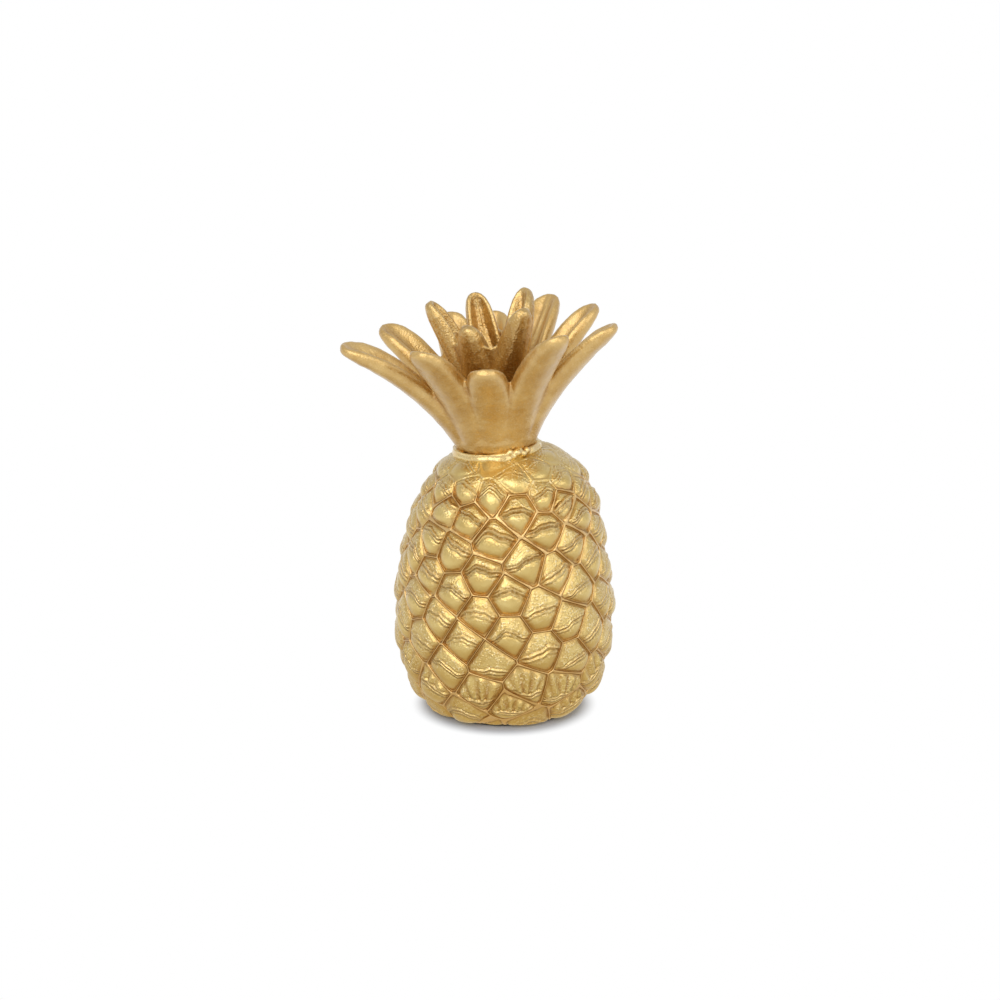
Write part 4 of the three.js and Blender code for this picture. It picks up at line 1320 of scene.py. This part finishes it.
@dataclass(frozen=True)
class Studio:
    """Pale floor, soft lamps and the camera at the photograph's angle.

    The shade runs from where the floor's shadow starts to fade to where it is gone, in metres
    from the middle of the shadow, which lies a little in front of the ornament.
    """

    elevation: float = math.radians(17.0)
    distance: float = 1000.0
    aim: tuple[float, float, float] = (-1.6, 0.0, 76.7)
    lens: float = 100.0
    floor_size: float = 6000.0
    shade: tuple[float, float] = (0.0265, 0.0345)
    shade_shift: tuple[float, float, float] = (0, 0.0035, 0)
    lit: tuple[float, float, float] = (0, 0, 70)

    def build(self) -> None:
        """Build floor, lamps, world and camera."""
        self.floor()
        self.lamp("key", (-200, -640, 640), 760, 3.5)
        self.lamp("fill", (560, -420, 420), 500, 1.0)
        self.world()
        self.camera()

    def floor(self) -> None:
        """Lay the floor, which the camera sees white and which keeps the shadow."""
        bm = bmesh.new()
        bmesh.ops.create_grid(bm, x_segments=1, y_segments=1, size=self.floor_size)
        floor = piece_from(bm, "studio_floor")
        material = bpy.data.materials.new("white_paper")
        material.use_nodes = True
        tree = material.node_tree
        tree.nodes.clear()
        out = add_node(tree, "OutputMaterial")
        matt = add_node(tree, "BsdfDiffuse", {"inputs": {"Color": linear("c0c8d6")}})
        glow, white = (
            add_node(tree, "Emission", {"inputs": {"Strength": light}}) for light in (0.04, 1.0)
        )
        # Near the foot the camera sees the lit grey-blue floor, whose grey is partly painted shadow
        # round the foot and partly the real shadow that falls there.
        near = add_node(tree, "AddShader", _0=matt, _1=glow)
        where = add_node(tree, "TexCoord").outputs["Object"]
        ahead = add_node(tree, "VectorMath", {"inputs": {1: self.shade_shift}}, _0=where)
        far = add_node(tree, "VectorMath", {"operation": "LENGTH"}, _0=ahead).outputs["Value"]
        # The second map dims the floor that reflections see near the ornament: painted shade.
        fade, reflected_shade = (
            add_node(tree, "MapRange", {
                "interpolation_type": "SMOOTHSTEP",
                "inputs": {"From Min": start, "From Max": end, "To Min": low},
            }, Value=far)
            for start, end, low in ((*self.shade, 0.0), (0.03, 0.2, 0.8))
        )  # fmt: skip
        # Reflections also see the floor warmer near the ornament: a painted bounce of light from
        # the gold.
        reflected_bounce = {"stops": [(0.03, "f8e8c4"), (0.13, "ffffff")]}
        reflected_bounce = add_node(tree, "ValToRGB", reflected_bounce, Fac=far)
        mirrored = add_node(tree, "Emission", Strength=reflected_shade, Color=reflected_bounce)
        path = add_node(tree, "LightPath").outputs
        seen = add_node(tree, "MixShader", _0=fade, _1=near, _2=white)
        pick = add_node(tree, "MixShader", _0=path["Is Camera Ray"], _1=matt, _2=seen)
        pick = add_node(tree, "MixShader", _0=path["Is Glossy Ray"], _1=pick, _2=mirrored)
        set_up(tree, out, Surface=pick)
        floor.data.materials.append(material)

    def lamp(self, name: str, place: tuple[float, float, float], size: float, power: float) -> None:
        """Hang a square soft box that looks at the middle of the ornament.

        Args:
            name: The lamp's name.
            place: Where it hangs, in millimetres.
            size: Its side, in millimetres.
            power: Its power in watts.
        """
        data = bpy.data.lights.new(name, "AREA")
        data.shape = "SQUARE"
        data.size = size * MM
        data.energy = power
        lamp = bpy.data.objects.new(name, data)
        lamp.location = Vector(place) * MM
        sight = Vector(self.lit) * MM - lamp.location
        lamp.rotation_euler = sight.to_track_quat("-Z", "Y").to_euler()
        bpy.context.scene.collection.objects.link(lamp)

    def world(self) -> None:
        """Surround the ornament with a pale room that the camera sees white."""
        world = bpy.data.worlds.new("studio_room")
        bpy.context.scene.world = world
        world.use_nodes = True
        tree = world.node_tree
        path = add_node(tree, "LightPath").outputs
        level = {"inputs": {"To Min": 0.5, "To Max": 0.75}}
        level = add_node(tree, "MapRange", level, Value=path["Is Glossy Ray"])
        most = {"operation": "MAXIMUM"}
        bright = add_node(tree, "Math", most, _0=path["Is Camera Ray"], _1=level)
        white = {"inputs": {"Color": (1, 1, 1, 1)}}
        set_up(tree, tree.nodes["Background"], white, Strength=bright)

    def camera(self) -> None:
        """Set the camera up in front, a little above the ornament."""
        data = bpy.data.cameras.new("photo_camera")
        data.lens = self.lens
        data.sensor_width = 36.0
        data.clip_end = 20.0
        camera = bpy.data.objects.new("photo_camera", data)
        forward = Vector((0, math.cos(self.elevation), -math.sin(self.elevation)))
        camera.location = (Vector(self.aim) - forward * self.distance) * MM
        camera.rotation_euler = (math.pi / 2 - self.elevation, 0, 0)
        bpy.context.scene.collection.objects.link(camera)
        bpy.context.scene.camera = camera


# The lip of each front eye: shares of the eye's height at its left end, then the place and the
# height of its peak, and its height at the right end.
LIPS = {
    23: (0.40, -0.25, 0.70, 0.45), 46: (0.46, -0.1, 0.68, 0.40), 32: (0.70, -0.5, 0.72, 0.46),
    18: (0.82, -0.6, 0.80, 0.50), 9: (0.46, -0.2, 0.68, 0.55), -5: (0.62, -0.3, 0.64, 0.42),
    -14: (0.52, -0.05, 0.66, 0.45), -37: (0.24, 0, 0.28, 0.24), -23: (0.38, -0.05, 0.66, 0.46),
    0: (0.42, -0.05, 0.62, 0.43), -9: (0.34, 0.35, 0.54, 0.44), 14: (0.38, 0.7, 0.66, 0.66),
    5: (0.34, 0.45, 0.64, 0.60), 28: (0.5, 0.2, 0.66, 0.62), 19: (0.35, 0.6, 0.6, 0.7),
    37: (0.42, -0.05, 0.62, 0.48), -4: (0.3, 0.7, 0.6, 0.66), -18: (0.3, 0.7, 0.55, 0.6),
    -32: (0.38, 0.3, 0.62, 0.56), -41: (0.25, 0.7, 0.6, 0.66), -27: (0.25, 0.7, 0.62, 0.68),
    -42: (0.68, -0.6, 0.68, 0.42), -28: (0.45, 0.1, 0.62, 0.40), -19: (0.62, -0.3, 0.66, 0.4),
    27: (0.75, -0.5, 0.75, 0.5), 4: (0.75, -0.4, 0.72, 0.42), 41: (0.8, -0.5, 0.8, 0.6),
    -33: (0.6, -0.3, 0.55, 0.3), -10: (0.6, -0.2, 0.62, 0.4), -46: (0.36, 0, 0.32, 0.38),
    -51: (0.32, 0, 0.3, 0.34), -55: (0.3, 0.1, 0.36, 0.4), -60: (0.4, 0, 0.38, 0.42),
}  # fmt: skip

EYE_SHIFTS = {
    -55: (0.15, 0.2), -51: (0.2, -0.1), -46: (-0.05, -0.2), -42: (0.1, 0), -41: (-0.2, 0.1),
    -37: (-0.15, 0), -33: (0.2, 0.1), -32: (-0.25, -0.05), -28: (0, 0), -23: (-0.25, 0),
    -19: (0.15, 0), -18: (0, -0.05), -14: (-0.15, 0.05), -10: (0.15, -0.1), -9: (0.05, -0.1),
    -5: (0, 0.1), -4: (-0.25, 0.1), 0: (0.05, -0.15), 4: (-0.05, 0), 5: (0, 0.15), 9: (0.2, -0.1),
    14: (-0.05, 0), 18: (0.1, 0), 19: (0, 0.1), 23: (-0.15, 0.23), 27: (0.15, -0.3),
    28: (0, 0.16), 32: (-0.15, 0.27), 37: (-0.07, 0.33), 41: (-0.25, -0.1), 42: (0.23, 0.15),
    46: (-0.1, 0.27), 51: (0.4, 0), 55: (-0.3, -0.2), 60: (0.1, 0),
}  # fmt: skip


def main() -> None:
    """Build the ornament piece by piece, dress it and set up the studio."""
    logging.basicConfig(level=logging.INFO, format="%(message)s")
    bpy.context.scene.view_settings.view_transform = "Standard"
    crown = Crown()
    body = BodyCasting(EyeField(shifts=EYE_SHIFTS), crown, LIPS)
    gold = {
        name: GoldPaint(name, high, mid, roughness, grit, speckle)
        for name, high, mid, roughness, grit, speckle in (
            ("gold_paint_on_leaves", "dab874", "c8a058", 0.44, 0.3, 0.12),
            ("gold_paint_on_inner_leaves", "d4b370", "b89048", 0.36, 0.45, 0.2),
            ("bright_gold_paint", "ead292", "dab874", 0.3, 0.3, 0.15),
        )
    }
    casting = GoldPaint("gold_paint_on_casting", "e0c67c", "ceae60", 0.36, 0.4, 0.62, grooves=True)
    for maker, node, slot, finish in (
        (body, "body_casting", "body_gold", casting),
        (OuterWhorl(crown), "crown_outer_whorl", "leaf_gold", gold["gold_paint_on_leaves"]),
        (InnerWhorl(crown), "crown_inner_whorl", "leaf_gold", gold["gold_paint_on_inner_leaves"]),
        (NeckBead(crown), "neck_joint_bead", "bead_gold", gold["bright_gold_paint"]),
        (FeltDisc(), "felt_base", "felt", WoolFelt()),
    ):
        made = maker.build()
        stand_for(made, node)
        made.data.materials.append(finish.build())
    steel = ZincPlate().build()
    for node in ("crown_screw", "flat_washer", "spring_washer"):
        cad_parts[node].data.materials.clear()
        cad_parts[node].data.materials.append(steel)
    Studio().build()


if __name__ == "__main__":
    main()
